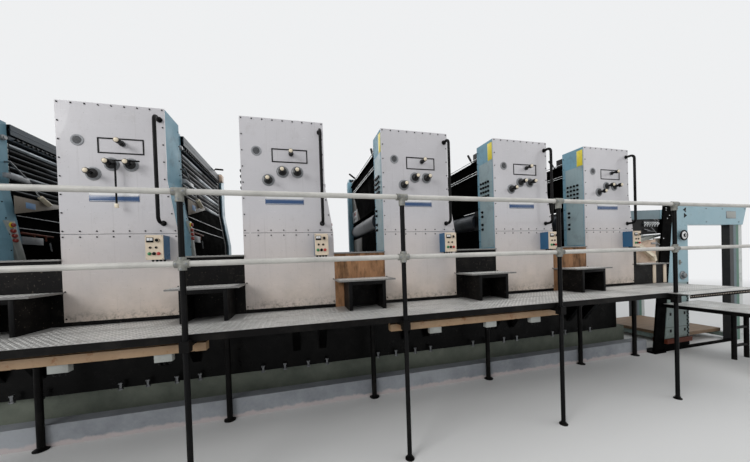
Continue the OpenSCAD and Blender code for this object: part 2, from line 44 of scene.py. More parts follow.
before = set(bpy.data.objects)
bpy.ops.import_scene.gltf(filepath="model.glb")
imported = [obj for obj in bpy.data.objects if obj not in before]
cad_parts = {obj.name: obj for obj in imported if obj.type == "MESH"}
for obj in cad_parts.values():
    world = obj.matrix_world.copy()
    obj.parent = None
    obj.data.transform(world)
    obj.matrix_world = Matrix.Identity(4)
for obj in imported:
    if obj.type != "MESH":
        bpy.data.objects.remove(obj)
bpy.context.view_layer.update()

MM = 0.001
LOW, HIGH = 0, 1
X, Y, Z = 0, 1, 2
LEFT, FACE, PANEL_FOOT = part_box("lower_front_panels")[LOW]
PANEL_FOOT /= MM


def edge_of(node, end, axis):
    """Where one end of a node's box lies, in press millimetres."""
    return (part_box(node)[end][axis] - (LEFT, FACE, 0)[axis]) / MM


UNITS = 6
UNIT_TOP = edge_of("upper_front_panels", HIGH, Z)
SEAM = edge_of("lower_front_panels", HIGH, Z) + 2
NEAR = edge_of("near_side_frames", LOW, Y)
INNER = edge_of("near_side_frames", HIGH, Y)
FAR_INNER = edge_of("far_side_frames", LOW, Y)
FAR_FACE = edge_of("rear_covers", HIGH, Y)
HOOD_DEPTH = edge_of("side_hoods", HIGH, Y)
ROLLERS = 9
ROLLER_LOW = edge_of("ink_rollers", LOW, Z) + 25
ROLLER_TOP = edge_of("ink_rollers", HIGH, Z) - 25
ROLLER_PITCH = (ROLLER_TOP - ROLLER_LOW) / (ROLLERS - 1)
ROOF = edge_of("ink_duct_covers", HIGH, Z)
PLINTH = edge_of("concrete_plinth", HIGH, Z)
DECK_TOP = edge_of("deck_plates", HIGH, Z)
DECK_START = edge_of("concrete_kerb", LOW, X)
DECK_END = edge_of("step_boxes", HIGH, X) - 50
LANDING = 7708
STEP = edge_of("step_treads", LOW, Z) + 15
LEDGE = edge_of("step_treads", HIGH, Z)
POSTS = [DECK_START + 60] + [1013 + 1690 * k for k in range(6)]
WHEEL = sum((Vector(corner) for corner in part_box("feeder_handwheel")), Vector()) / 2
# turns about X and Y that make a piece modelled along +Z face each way
FACING = {"-Y": (math.pi / 2, 0), "+Y": (-math.pi / 2, 0), "-X": (0, -math.pi / 2),
          "+X": (0, math.pi / 2), "+Z": (0, 0), "-Z": (math.pi, 0)}
SLANT = 0.78  # turn of a tread mark
RAIL_Y = -800
FAR_LEGS_Y = 381.7
BACKDROP = (0.86, 0.87, 0.88, 1)


def tone(code):
    """The linear colour of a hexadecimal sRGB code."""
    parts = [int(code[k:k + 2], 16) / 255 for k in (0, 2, 4)]
    return [c / 12.92 if c <= 0.04045 else ((c + 0.055) / 1.055) ** 2.4 for c in parts]


def metres(name, about, default):
    return bpy.props.FloatProperty(name=name, description=about, default=default, unit="LENGTH")


def colour(name, code, about):
    return bpy.props.FloatVectorProperty(
        name=name, description=about, default=tone(code), subtype="COLOR", min=0, max=1)


class PressSizes(bpy.types.PropertyGroup):
    """Sizes that the fittings are placed by"""

    pitch: metres("Unit pitch", "Distance from one unit to the next", 1.49)
    panel_width: metres("Panel width", "Width of a front panel at its foot", 0.911)
    top_width: metres("Top width", "Width of a front panel at its top", 0.836)
    flare: metres("Flare height", "Height at which the right edge starts to slant", 2.57)
    bolt_radius: metres("Bolt radius", "Radius of a panel bolt's head", 0.0065)
    tread_pitch: metres("Tread pitch", "Distance between the tread plate's raised marks", 0.044)


class PressColours(bpy.types.PropertyGroup):
    """Colours of the press's finishes"""

    panel: colour("Panel", "c3c1c4", "Off-white enamel of the front panels")
    housing: colour("Housing", "779eaf", "Grey-blue enamel of the housings")
    cover: colour("Cover plate", "93a5a9", "Grey-green enamel of the side covers")
    feeder: colour("Feeder", "8fb0bb", "Light blue enamel of the feeder")
    rail: colour("Rail", "c4c2bc", "Off-white paint of the handrail")
    tread: colour("Tread plate", "b3b2af", "Worn grey of the tread plates")
    roller: colour("Roller", "0e0f11", "Inked rubber of the rollers")
    cylinder: colour("Cylinder", "31373f", "Ground steel of the cylinders")
    box_blue: colour("Control box", "1c567c", "Blue enamel of the control boxes")
    cream: colour("Cream", "dccbb4", "Cream of the faces and knob caps")


def place(x, y, z):
    """A point in press millimetres as a point of the row frame in metres."""
    return Vector((LEFT + x * MM, FACE + y * MM, z * MM))


def sizes():
    return bpy.context.scene.press_sizes


def hue(name):
    """A colour of the sidebar by its name, or else the colour of a code."""
    if name in PressColours.__annotations__:
        return getattr(bpy.context.scene.press_colours, name)[:]
    return tone(name)


def shade(name, factor):
    return [c * factor for c in hue(name)]


# ---- shaders


class Finish:
    """Builds one material's node tree on Object coordinates."""

    def __init__(self, name, rough=0.45, metal=0.0, coat=0.0, shine=0.5):
        self.material = bpy.data.materials.new(name)
        self.material.use_nodes = True
        self.nodes = self.material.node_tree.nodes
        self.links = self.material.node_tree.links
        self.nodes.clear()
        self.out = self.nodes.new("ShaderNodeOutputMaterial")
        self.shader = self.nodes.new("ShaderNodeBsdfPrincipled")
        for socket, value in (("Metallic", metal), ("Roughness", rough),
                              ("Coat Weight", coat), ("IOR", 1 + shine)):
            self.shader.inputs[socket].default_value = value
        self.links.new(self.shader.outputs["BSDF"], self.out.inputs["Surface"])
        self.where = self.nodes.new("ShaderNodeTexCoord").outputs["Object"]
        split = self.nodes.new("ShaderNodeSeparateXYZ")
        self.links.new(self.where, split.inputs[0])
        self.x, self.y, self.z = split.outputs

    def feed(self, socket, value):
        """Links a socket to another, or sets its number or its colour."""
        if isinstance(value, bpy.types.NodeSocket):
            self.links.new(value, socket)
        elif isinstance(value, (int, float)):
            socket.default_value = value
        else:
            socket.default_value = (*value[:3], 1.0)

    def noise(self, scale, detail, rough=0.55, stretch=(1, 1, 1)):
        """A noise's level, with more waves to a metre along an axis that is stretched."""
        mapping = self.nodes.new("ShaderNodeMapping")
        mapping.inputs["Scale"].default_value = stretch
        self.links.new(self.where, mapping.inputs["Vector"])
        node = self.nodes.new("ShaderNodeTexNoise")
        for socket, value in (("Scale", scale), ("Detail", detail), ("Roughness", rough)):
            node.inputs[socket].default_value = value
        self.links.new(mapping.outputs[0], node.inputs["Vector"])
        return node.outputs[0]

    def span(self, value, low, high, to_low=0.0, to_high=1.0):
        """value mapped from low..high to to_low..to_high, and held there."""
        node = self.nodes.new("ShaderNodeMapRange")
        self.feed(node.inputs["Value"], value)
        for socket, bound in (("From Min", low), ("From Max", high),
                              ("To Min", to_low), ("To Max", to_high)):
            node.inputs[socket].default_value = bound
        return node.outputs[0]

    def work(self, operation, a, b=0.0):
        node = self.nodes.new("ShaderNodeMath")
        node.operation = operation
        self.feed(node.inputs[0], a)
        self.feed(node.inputs[1], b)
        return node.outputs[0]

    def times(self, a, b):
        return self.work("MULTIPLY", a, b)

    def blend(self, factor, a, b):
        """Colour a where factor is 0, and colour b where it is 1."""
        node = self.nodes.new("ShaderNodeMix")
        node.data_type = "RGBA"
        self.feed(node.inputs[0], factor)
        self.feed(node.inputs[6], a)
        self.feed(node.inputs[7], b)
        return node.outputs[2]

    def stains(self, tint, *rows):
        """Lays colours over a tint, each where a noise is high.

        A row holds its share, its colour, the noise's scale and detail, the two levels that it
        rises between, and where they aren't plain, the noise's roughness and stretch.
        """
        for share, over, scale, detail, low, high, *how in rows:
            mask = self.span(self.noise(scale, detail, *how), low, high)
            over = hue(over) if isinstance(over, str) else over
            tint = self.blend(self.times(mask, share), tint, over)
        return tint

    def band(self, axis, low, high, soft=0.004):
        """1 between two heights along an axis, and 0 outside them."""
        rise = self.span(axis, low - soft, low + soft)
        fall = self.span(axis, high - soft, high + soft, 1.0, 0.0)
        return self.times(rise, fall)

    def bump(self, height, distance, strength):
        node = self.nodes.new("ShaderNodeBump")
        node.inputs["Distance"].default_value = distance
        node.inputs["Strength"].default_value = strength
        self.links.new(height, node.inputs["Height"])
        self.links.new(node.outputs[0], self.shader.inputs["Normal"])

    def done(self, base, rough=None, grain=None):
        """Feeds the shader, and gives the material.

        rough is a socket, or a noise's scale and detail, its two levels and the roughness at
        each. grain is a noise's scale and detail, the bump's distance and strength, and where it
        isn't plain, the noise's roughness.
        """
        self.feed(self.shader.inputs["Base Color"], base)
        if grain:
            scale, detail, distance, strength, *uneven = grain
            self.bump(self.noise(scale, detail, *uneven), distance, strength)
        if isinstance(rough, tuple):
            rough = self.span(self.noise(*rough[:2]), *rough[2:])
        if rough:
            self.links.new(rough, self.shader.inputs["Roughness"])
        return self.material


def enamel(name, base, rough=0.38, dirt=0.35, dirt_tone="3a3226", streak=0.25, clear=0.15,
           shine=0.5):
    """Sprayed enamel with clouds of dirt, runs and specks."""
    f = Finish(name, rough, coat=clear, shine=shine)
    tint = f.stains(hue(base), (1, shade(base, 0.87), 1.7, 6, 0.35, 0.7),
                    (dirt, shade(dirt_tone, 1.4), 7, 8, 0.52, 0.78, 0.7),
                    (streak * dirt, dirt_tone, 1.0, 5, 0.56, 0.74, 0.55, (38, 38, 1.6)),
                    (dirt, "241d16", 120, 2, 0.69, 0.74))
    return f.done(tint, (5, 6, 0.3, 0.75, rough - 0.08, rough + 0.22), (260, 3, 0.0004, 0.25))


def gloss_paint(name, code, rough=0.3, dirt=0.15):
    return enamel(name, code, rough, dirt, streak=0.1)


def front_panel(name):
    """Off-white enamel: cooler above, warm and scuffed below, black oily specks at the foot."""
    f = Finish(name, 0.36, coat=0.2)
    foot = f.times(f.span(f.z, 1.29, 1.39, 1.0, 0.0), 0.8)
    veil = f.span(f.z, 1.29, 1.75, 0.32, 0.0)
    tint = f.blend(f.span(f.z, 1.3, 2.3, 1.0, 0.0), hue("panel"), tone("d3c3b5"))
    tint = f.stains(tint, (0.55, shade("panel", 0.80), 1.1, 6, 0.36, 0.68),
                    (0.22, "8c857c", 9, 9, 0.56, 0.76, 0.72, (1, 1, 0.7)),
                    (0.14, "6b6459", 1.0, 6, 0.60, 0.74, 0.55, (55, 55, 1.3)),
                    (0.20, "efeeee", 1.0, 5, 0.64, 0.72, 0.55, (9, 9, 130)),
                    (0.5, "3b3530", 95, 2, 0.70, 0.74),
                    (foot, "3d3f33", 26, 8, 0.47, 0.62, 0.8),
                    (veil, "7d7668", 5, 8, 0.4, 0.65, 0.7))
    return f.done(tint, (4, 6, 0.3, 0.75, 0.28, 0.55), (300, 3, 0.0003, 0.2))


def rear_housing(name):
    """The far housings: off-white enamel on the back, grey-blue on their sides and tops."""
    f = Finish(name, 0.38, coat=0.15)
    far = FACE + FAR_FACE * MM
    foot = f.times(f.span(f.z, 1.29, 1.60, 1.0, 0.0), 0.7)
    tint = f.blend(f.span(f.y, far - 0.013, far - 0.011), hue("housing"), shade("panel", 0.95))
    tint = f.stains(tint, (0.25, "6b6a66", 1.4, 7, 0.36, 0.70),
                    (0.25, "5a5348", 8, 8, 0.54, 0.76, 0.72),
                    (0.15, "3f3a33", 1.0, 5, 0.58, 0.74, 0.55, (40, 40, 1.5)),
                    (foot, "4a4438", 18, 8, 0.42, 0.62, 0.78))
    return f.done(tint, (4, 6, 0.3, 0.75, 0.3, 0.55), (260, 3, 0.0003, 0.2))


def satin_black(name, rough=0.42, dust=0.25, base="0d0d0f", shine=0.2):
    """Black paint with dust that settles in clouds and worn brown spots."""
    f = Finish(name, rough, shine=shine)
    tint = f.stains(tone(base), (dust, "5a554e", 6, 7, 0.50, 0.85, 0.7),
                    (dust * 1.2, "5c4230", 30, 6, 0.67, 0.75, 0.8))
    return f.done(tint, (8, 5, 0.3, 0.7, rough - 0.1, rough + 0.2), (180, 4, 0.0004, 0.3))


def near_frame(name):
    """Oily black paint, and grey-blue on the edge that faces the next unit."""
    f = Finish(name, 0.4, shine=0.3)
    pitch = sizes().pitch
    within = f.work("MODULO", f.work("ADD", f.x, 20 * pitch - LEFT), pitch)
    edge = f.times(f.band(within, 0.6, 0.93, 0.001),
                   f.span(f.z, LEDGE * MM - 0.002, LEDGE * MM))
    tint = f.stains(f.blend(edge, tone("0b0b0c"), shade("housing", 0.85)),
                    (0.25, "3a352e", 6, 7, 0.50, 0.85, 0.7))
    return f.done(tint, (8, 5, 0.3, 0.7, 0.3, 0.6), (180, 4, 0.0004, 0.3))


def turn_knob(name):
    """Black crank knobs on turned grey bases."""
    f = Finish(name, 0.3, shine=0.35)
    base = f.span(f.y, FACE - 0.014, FACE - 0.013)
    tint = f.stains(f.blend(base, tone("0a0a0b"), tone("77797c")),
                    (0.35, "2b2a28", 60, 6, 0.50, 0.75, 0.7))
    return f.done(tint, (20, 5, 0.3, 0.7, 0.22, 0.45), (200, 3, 0.0002, 0.2))


def bare_steel(name, base, rough=0.3, metal=0.85, along=(1, 1, 1)):
    """Ground or drawn steel with fine marks and oily patches."""
    f = Finish(name, rough, metal)
    marks = f.noise(60, 3, stretch=along)
    tint = f.blend(f.span(marks, 0.3, 0.7), hue(base), shade(base, 0.72))
    oil = f.span(f.noise(5, 6, 0.7), 0.50, 0.72)
    tint = f.blend(f.times(oil, 0.45), tint, tone("1d1a16"))
    f.bump(marks, 0.0002, 0.2)
    return f.done(tint, f.span(oil, 0, 1, rough, rough + 0.25))


def gasket_rubber(name):
    f = Finish(name, 0.5, shine=0.25)
    tint = f.stains(tone("0b0b0c"), (1, shade("0b0b0c", 0.45), 3, 6, 0.4, 0.7, 0.55, (1, 0.4, 1)),
                    (0.3, "6d6a64", 80, 2, 0.70, 0.76))
    return f.done(tint, (4, 5, 0.3, 0.7, 0.4, 0.7), (150, 3, 0.0003, 0.2))


def roller_bank(name):
    """Inked black rollers with a painted highlight line along each; the bare steel ones among
    them shine where no ink lies.
    """
    f = Finish(name, 0.3, shine=0.12)
    tint = f.stains(hue("roller"), (1, shade("roller", 0.4), 3, 6, 0.4, 0.7, 0.55, (1, 0.4, 1)))
    middle = FACE + (INNER + FAR_INNER) / 2 * MM
    heights = [(ROLLER_TOP - k * ROLLER_PITCH) * MM for k in range(ROLLERS)]
    steel = lines = 0.0
    for k, low, high in ((0, -1.2, -0.1), (2, -0.2, 0.9), (5, -1.2, 1.2), (8, 0.1, 1.2)):
        ring = f.band(f.z, heights[k] - 0.027, heights[k] + 0.027, 0.0005)
        part = f.band(f.y, middle + low, middle + high, 0.12)
        steel = f.work("ADD", f.times(ring, part), steel)
    # a thin pale band a little above each roller's axis: a painted highlight, not ink or steel
    for z in heights:
        lines = f.work("ADD", f.band(f.z, z + 0.010, z + 0.016, 0.001), lines)
    tint = f.stains(tint, (f.times(lines, 0.75), "9ba3aa", 1.4, 5, 0.42, 0.60,
                           0.6, (0.2, 1, 9)))
    ground = f.stains(tone("8b9196"), (0.8, "1b1d20", 2.5, 7, 0.40, 0.60, 0.7, (1, 0.5, 1)))
    f.feed(f.shader.inputs["Metallic"], f.times(steel, 0.9))
    return f.done(f.blend(steel, tint, ground), (4, 5, 0.3, 0.7, 0.25, 0.5),
                  (150, 3, 0.0002, 0.2))


def worn_tread(name, base, factor=1.0):
    """Grey tread plate with trodden bright patches, grime and rust."""
    f = Finish(name, 0.42, 0.35)
    cloud = f.span(f.noise(2.2, 8, 0.7), 0.38, 0.70)
    tint = f.blend(cloud, shade(base, factor), shade(base, factor * 0.68))
    tint = f.stains(tint, (0.55, "4a433b", 11, 8, 0.52, 0.72, 0.78),
                    (0.5, "7b5236", 26, 7, 0.66, 0.76, 0.8))
    return f.done(tint, f.span(cloud, 0, 1, 0.34, 0.62), (140, 5, 0.0006, 0.35))


def concrete(name, base, dark, stripe=None):
    """Pitted concrete, with a paler stripe up to a height where one is given."""
    f = Finish(name, 0.88)
    tint = f.stains(tone(base), (1, dark, 1.6, 9, 0.34, 0.70, 0.68),
                    (0.5, shade(dark, 0.5), 55, 6, 0.60, 0.74, 0.8))
    if stripe:
        top, code = stripe
        edge = f.work("ADD", f.z, f.span(f.noise(9, 5), 0.3, 0.7, -0.02, 0.02))
        near = f.span(edge, top - 0.012, top + 0.012, 1.0, 0.0)
        tint = f.blend(f.times(near, 0.8), tint, tone(code))
    return f.done(tint, None, (42, 9, 0.004, 0.45, 0.75))


def rusty_sheet(name):
    f = Finish(name, 0.6)
    tint = f.stains(tone("a5896a"), (1, "8d6f50", 3, 7, 0.36, 0.68, 0.7))
    rust = f.span(f.noise(13, 8, 0.75), 0.55, 0.68)
    tint = f.blend(f.times(rust, 0.9), tint, tone("7d4a22"))
    return f.done(tint, f.span(rust, 0, 1, 0.45, 0.8), (60, 6, 0.001, 0.3))


def feeder_enamel(name):
    """Light blue enamel: painted shade on the arm, greenish grey and painted shade below the
    walkway, dirty at the foot.
    """
    f = Finish(name, 0.34, coat=0.2)
    # below the walkway the same column is painted greenish grey and darker: painted shade under
    # the deck
    tint = f.blend(f.span(f.z, 1.16, 1.20, 1.0, 0.0), hue("feeder"), tone("7b8b82"))
    # the arm is the same enamel painted at 0.31 of its brightness: painted shade
    arm_end = place(9574, 0, 0).x
    arm = f.span(f.x, arm_end - 0.002, arm_end + 0.002, 1.0, 0.0)
    tint = f.blend(arm, tint, shade("feeder", 0.31))
    foot = f.times(f.span(f.z, 0.05, 0.55, 1.0, 0.0), 0.7)
    tint = f.stains(tint, (0.5, shade("feeder", 0.80), 1.9, 6, 0.36, 0.7),
                    (0.3, "5a5a50", 12, 8, 0.58, 0.74, 0.72),
                    (foot, "4b4a3c", 17, 7, 0.42, 0.62, 0.8))
    tint = f.blend(f.band(f.z, 0.402, 0.410, 0.001), tint, tone("2a302c"))
    return f.done(tint, (5, 5, 0.3, 0.7, 0.26, 0.5), (260, 3, 0.0003, 0.2))


def striped_column(name):
    """Hoist column: dark slide, green belt, white guide and grey-blue edge side by side."""
    f = Finish(name, 0.45)
    across = f.work("SUBTRACT", f.x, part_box("hoist_columns")[LOW][X])
    tint = tone("16181b")
    for start, code in ((0.105, "5c6d74"), (0.178, "4d7564"), (0.252, "c9cdca")):
        tint = f.blend(f.span(across, start, start + 0.004), tint, tone(code))
    tint = f.stains(tint, (0.45, "35352c", 9, 8, 0.50, 0.74, 0.75))
    return f.done(tint, None, (120, 4, 0.0004, 0.3))


def dusty_rail(name):
    f = Finish(name, 0.45)
    tint = f.stains(hue("rail"), (1, shade("rail", 0.72), 4, 7, 0.40, 0.70, 0.7),
                    (0.8, "5b4a3a", 38, 7, 0.66, 0.72, 0.8))
    return f.done(tint, None, (90, 5, 0.0005, 0.3))


def board_wood(name):
    f = Finish(name, 0.65)
    grain = f.noise(3.0, 9, 0.65, (1, 22, 22))
    f.bump(grain, 0.001, 0.35)
    return f.done(f.blend(f.span(grain, 0.32, 0.68), tone("8d7358"), tone("5d4b3a")))


def step_paint(name):
    """Black steps, with bare brown boards as risers in the third and fifth gaps."""
    f = Finish(name, 0.5, shine=0.2)
    tint = f.stains(tone("0a0909"), (0.22, "5a554e", 6, 7, 0.50, 0.85, 0.7),
                    (0.5, "8a7f70", 70, 3, 0.66, 0.72))
    board = f.stains(tone("b08563"), (1, "7d5c40", 2.4, 8, 0.3, 0.7, 0.7, (9, 1, 1.2)),
                     (0.75, "1d1510", 4, 8, 0.46, 0.66, 0.7, (2.5, 1, 0.8)))
    third, fifth = (f.band(f.x, LEFT + k * sizes().pitch + sizes().panel_width,
                           LEFT + (k + 1) * sizes().pitch, 0.001) for k in (2, 4))
    riser = f.times(f.work("ADD", third, fifth), f.span(f.y, FACE - 0.002, FACE))
    return f.done(f.blend(riser, tint, board), (8, 5, 0.3, 0.7, 0.38, 0.62),
                  (120, 5, 0.0006, 0.3))


def slate_sheet(name):
    f = Finish(name, 0.42, shine=0.3)
    tint = f.stains(tone("36414a"), (1, "25292d", 2.4, 7, 0.36, 0.7),
                    (0.6, "101114", 10, 8, 0.56, 0.70, 0.75))
    return f.done(tint, None, (200, 3, 0.0003, 0.2))


# finish, its maker and what the maker is given
FINISHES = {
    "panel_enamel": (front_panel,), "rear_enamel": (rear_housing,),
    "housing_enamel": (enamel, "housing", 0.5, 0.5, "3a3226", 0.25, 0.02, 0.3),
    "cover_enamel": (enamel, "cover", 0.42, 0.4), "feeder_enamel": (feeder_enamel,),
    "frame_paint": (satin_black, 0.4, 0.16, "0b0b0c"), "near_frame": (near_frame,),
    "satin_black": (satin_black, 0.36, 0.10, "09090a"),
    "scuffed_black": (satin_black, 0.46, 0.16, "080707"),
    "column_black": (satin_black, 0.5, 0.07, "040404", 0.06),
    "oily_black": (satin_black, 0.32, 0.08, "040404"),
    "bank_black": (satin_black, 0.75, 0.03, "020202", 0.04),
    "knob_plastic": (satin_black, 0.28, 0.08, "0a0a0b"), "turn_knob": (turn_knob,),
    "inner_paint": (enamel, "514a3e", 0.5, 1.0, "12100c", 0.8),
    "oiled_steel": (bare_steel, "8b8d8f", 0.32),
    "bright_steel": (bare_steel, "c6c8c8", 0.24, 0.95),
    "ground_steel": (bare_steel, "cylinder", 0.46, 0.5, (14, 0.5, 14)),
    "cast_clamp": (bare_steel, "8f8f88", 0.6, 0.25),
    "roller_bank": (roller_bank,), "gasket_rubber": (gasket_rubber,),
    # step_tread is the deck's tread plate at half brightness: painted shade on the steps in the
    # gaps between the units
    "tread_plate": (worn_tread, "tread"), "step_tread": (worn_tread, "tread", 0.5),
    "tread_marks": (worn_tread, "dddcd8"),
    "kerb_concrete": (concrete, "a9adb2", "7e8288", (0.045, "cbbfbd")),
    "plinth_concrete": (concrete, "878d80", "5f665c"),
    "rail_paint": (dusty_rail,), "tray_sheet": (rusty_sheet,), "board_wood": (board_wood,),
    "hoist_column": (striped_column,), "step_paint": (step_paint,),
    "slate_enamel": (slate_sheet,),
    "red_oxide": (enamel, "63301f", 0.7, 1.0, "1c1410", 0.25, 0.15, 0.3),
    "box_enamel": (enamel, "box_blue", 0.32, 0.25), "cream_enamel": (enamel, "cream", 0.4, 0.2),
    "cabinet_enamel": (enamel, "d2b8a2", 0.5, 0.7, "3a3226", 0.25, 0.15, 0.4),
    "grey_enamel": (enamel, "9da09c", 0.45, 0.4), "table_sheet": (enamel, "a9aea8", 0.35, 0.5),
    "vent_sheet": (enamel, "8f9194", 0.4, 0.4), "plate_beige": (enamel, "978c80", 0.5, 0.7),
    "cream_cap": (gloss_paint, "e3d6bd", 0.25, 0.1),
    "plate_blue": (gloss_paint, "1f4470", 0.3, 0.12),
    "plate_white": (gloss_paint, "dcdcdc", 0.35, 0.12),
    "label_yellow": (gloss_paint, "e4cf36", 0.45, 0.3),
    "tag_blue": (gloss_paint, "7fa2cc", 0.4, 0.3),
    "button_red": (gloss_paint, "b0261c", 0.25, 0.05),
    "button_green": (gloss_paint, "1f7a45", 0.25, 0.05),
    "button_dark": (gloss_paint, "8a2a1c", 0.3, 0.3),
}
made_finishes = {}


def coat(name):
    """The named finish, made the first time that it is asked for."""
    if name not in made_finishes:
        maker, *values = FINISHES[name]
        made_finishes[name] = maker(name, *values)
    return made_finishes[name]


# finish, the nodes that have it
NODE_FINISHES = {
    "kerb_concrete": "concrete_kerb", "plinth_concrete": "concrete_plinth",
    "oily_black": "machine_bed infeed_head", "near_frame": "near_side_frames",
    "frame_paint": "far_side_frames", "oiled_steel": "tie_bars",
    "panel_enamel": "upper_front_panels lower_front_panels hatch_doors",
    "housing_enamel": "side_hoods", "cover_enamel": "cover_plates",
    "rear_enamel": "rear_covers", "slate_enamel": "ink_duct_covers",
    "gasket_rubber": "hatch_frames", "vent_sheet": "round_vents", "turn_knob": "turn_knobs",
    "cream_cap": "knob_caps", "satin_black": "grab_bars rail_posts",
    "box_enamel": "control_boxes", "cream_enamel": "control_faces",
    "plate_white": "name_plates", "step_paint": "step_boxes", "step_tread": "step_treads",
    "roller_bank": "ink_rollers", "bank_black": "roller_guards", "tread_plate": "deck_plates",
    "scuffed_black": "deck_beams deck_legs", "rail_paint": "guard_rails",
    "cast_clamp": "rail_fittings", "tray_sheet": "drip_trays",
    "feeder_enamel": "feeder_side_frames feeder_beams", "red_oxide": "feeder_feet",
    "hoist_column": "hoist_columns", "board_wood": "pile_board",
    "grey_enamel": "suction_head", "table_sheet": "feed_table",
    "column_black": "infeed_columns", "cabinet_enamel": "infeed_cabinet",
    "knob_plastic": "feeder_handwheel",
    "ground_steel": " ".join(f"impression_cylinder_{k + 1}" for k in range(UNITS)),
}


# finishes and slots that several pieces share
STEEL = ("oiled_steel", "dark_steel")
BRIGHT = ("bright_steel", "dark_steel")
BOLT = ("knob_plastic", "dark_steel")
PLASTIC = ("knob_plastic", "black_plastic")
BLACK = ("satin_black", "black_plastic")
PAINT = ("satin_black", "black_paint")
SCUFFED = ("scuffed_black", "black_paint")
VENT = ("vent_sheet", "vent_grey")
CREAM = ("cream_cap", "cream_cap")
SIGN = ("plate_white", "cream_cap")
TREAD = ("tread_marks", "tread_plate")


# ---- modelling helpers


def alone(piece=None):
    """Deselects everything, then selects one piece and makes it active."""
    bpy.ops.object.select_all(action="DESELECT")
    if piece is not None:
        piece.select_set(True)
        bpy.context.view_layer.objects.active = piece


def settle(piece):
    """Puts a piece's place, turn and scale into its mesh."""
    alone(piece)
    bpy.ops.object.transform_apply(location=True, rotation=True, scale=True)
    return piece


def modify(piece, kind, **values):
    """Adds a modifier with the given values, and applies it."""
    alone(piece)
    bpy.ops.object.modifier_add(type=kind)
    modifier = piece.modifiers[-1]
    for key, value in values.items():
        setattr(modifier, key, value)
    bpy.ops.object.modifier_apply(modifier=modifier.name)
    return piece


def soften(piece, edge=1.5, segments=2):
    """Breaks a piece's edges by a width in mm."""
    return modify(piece, "BEVEL", width=edge * MM, segments=segments, limit_method="ANGLE")


def row(piece, count, *step):
    """Repeats a piece, with the step from one to the next in mm."""
    return modify(piece, "ARRAY", count=count, use_relative_offset=False,
                  use_constant_offset=True,
                  constant_offset_displace=[part * MM for part in step])


def cuboid(middle, size):
    """A plain box to be worked on."""
    alone()
    bpy.ops.mesh.primitive_cube_add(size=1, location=middle)
    bpy.context.object.scale = size
    return settle(bpy.context.object)


def block(low, high, edge=1.5, segments=2):
    """A box between two corners in press millimetres, with its edges broken."""
    a, b = place(*low), place(*high)
    return soften(cuboid((a + b) / 2, b - a), edge, segments)


def reshape(piece, part, kind, chosen, change, **values):
    """Changes the vertices or faces that chosen() picks in edit mode."""
    alone(piece)
    bpy.ops.object.mode_set(mode="EDIT")
    bpy.ops.mesh.select_mode(type=kind)
    mesh = bmesh.from_edit_mesh(piece.data)
    for item in getattr(mesh, part):
        item.select_set(chosen(item))
    mesh.select_flush_mode()
    bmesh.update_edit_mesh(piece.data)
    change(**values)
    bpy.ops.object.mode_set(mode="OBJECT")
    return piece


def pull(piece, chosen, change, **values):
    """Moves the vertices of a piece whose places chosen() picks."""
    return reshape(piece, "verts", "VERT", lambda vertex: chosen(vertex.co), change, **values)


def turned(steps, sides=16):
    """A turned solid along +Z at the origin. Each step is its height and radius in mm."""
    alone()
    bpy.ops.mesh.primitive_circle_add(vertices=sides, radius=steps[0][1] * MM,
                                      fill_type="NGON", location=(0, 0, steps[0][0] * MM))
    piece = settle(bpy.context.object)
    bpy.ops.object.mode_set(mode="EDIT")
    bpy.ops.mesh.select_all(action="SELECT")
    for (low, wide), (high, narrow) in zip(steps, steps[1:]):
        bpy.ops.mesh.extrude_region_move(
            TRANSFORM_OT_translate={"value": (0, 0, (high - low) * MM)})
        if narrow != wide:
            ratio = narrow / wide
            bpy.ops.transform.resize(value=(ratio, ratio, 1), center_override=(0, 0, 0))
    bpy.ops.mesh.select_all(action="SELECT")
    bpy.ops.mesh.normals_make_consistent(inside=False)
    bpy.ops.object.mode_set(mode="OBJECT")
    return piece


def screw(radius, height=3.0, sides=10):
    return turned([(0, radius), (height, radius), (height * 1.4, radius * 0.72)], sides)


def rod(start, end, radius, sides=16, edge=1.0):
    """A round bar between two points in press millimetres, with its ends broken."""
    a, b = place(*start), place(*end)
    length = (b - a).length / MM
    piece = turned([(0, radius - edge), (edge, radius), (length - edge, radius),
                    (length, radius - edge)], sides)
    turn = (b - a).to_track_quat("Z", "Y").to_matrix().to_4x4()
    piece.matrix_world = Matrix.Translation(a) @ turn
    return settle(piece)


def merge(pieces):
    """Joins pieces into the first of them."""
    alone()
    for piece in pieces:
        piece.select_set(True)
    bpy.context.view_layer.objects.active = pieces[0]
    if len(pieces) > 1:
        bpy.ops.object.join()
    return settle(bpy.context.view_layer.objects.active)


def blocks(rows, edge):
    """Boxes of one edge width, joined. Each row is a box's two corners."""
    return merge([block(low, high, edge) for low, high in rows])


def rods(*rows):
    """Round bars, joined. Each row is a bar's two ends and radius."""
    return merge([rod(*ends) for ends in rows])


def spread(piece, spots, facing="+Z", roll=0.0):
    """Copies a piece made at the origin to every spot, turned to face one way."""
    about_x, about_y = FACING[facing]
    turn = (Matrix.Rotation(about_x, 4, "X") @ Matrix.Rotation(about_y, 4, "Y")
            @ Matrix.Rotation(roll, 4, "Z"))
    copies = []
    for spot in spots:
        copy = piece.copy()
        copy.data = piece.data.copy()
        copy.matrix_world = Matrix.Translation(place(*spot)) @ turn
        bpy.context.collection.objects.link(copy)
        copies.append(copy)
    bpy.data.objects.remove(piece)
    return merge(copies)


def hand_over(piece, name, finish, slot, body="frame", smooth=35):
    """Names a piece, gives it its finish, and lets it ride on its body."""
    alone(piece)
    bpy.ops.object.shade_smooth_by_angle(angle=math.radians(smooth))
    piece.name = piece.data.name = name
    piece.data.materials.clear()
    piece.data.materials.append(coat(finish))
    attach(piece, body)


def each_unit(piece, name, finish, slot, count=UNITS):
    """Repeats a finished piece along the row of units, and hands it over."""
    hand_over(row(piece, count, sizes().pitch / MM, 0, 0), name, finish, slot)


def ring_of(x, y, z, radius, angles):
    """Spots on an upright circle that faces along Y."""
    return [(x + radius * math.cos(a), y, z + radius * math.sin(a)) for a in angles]


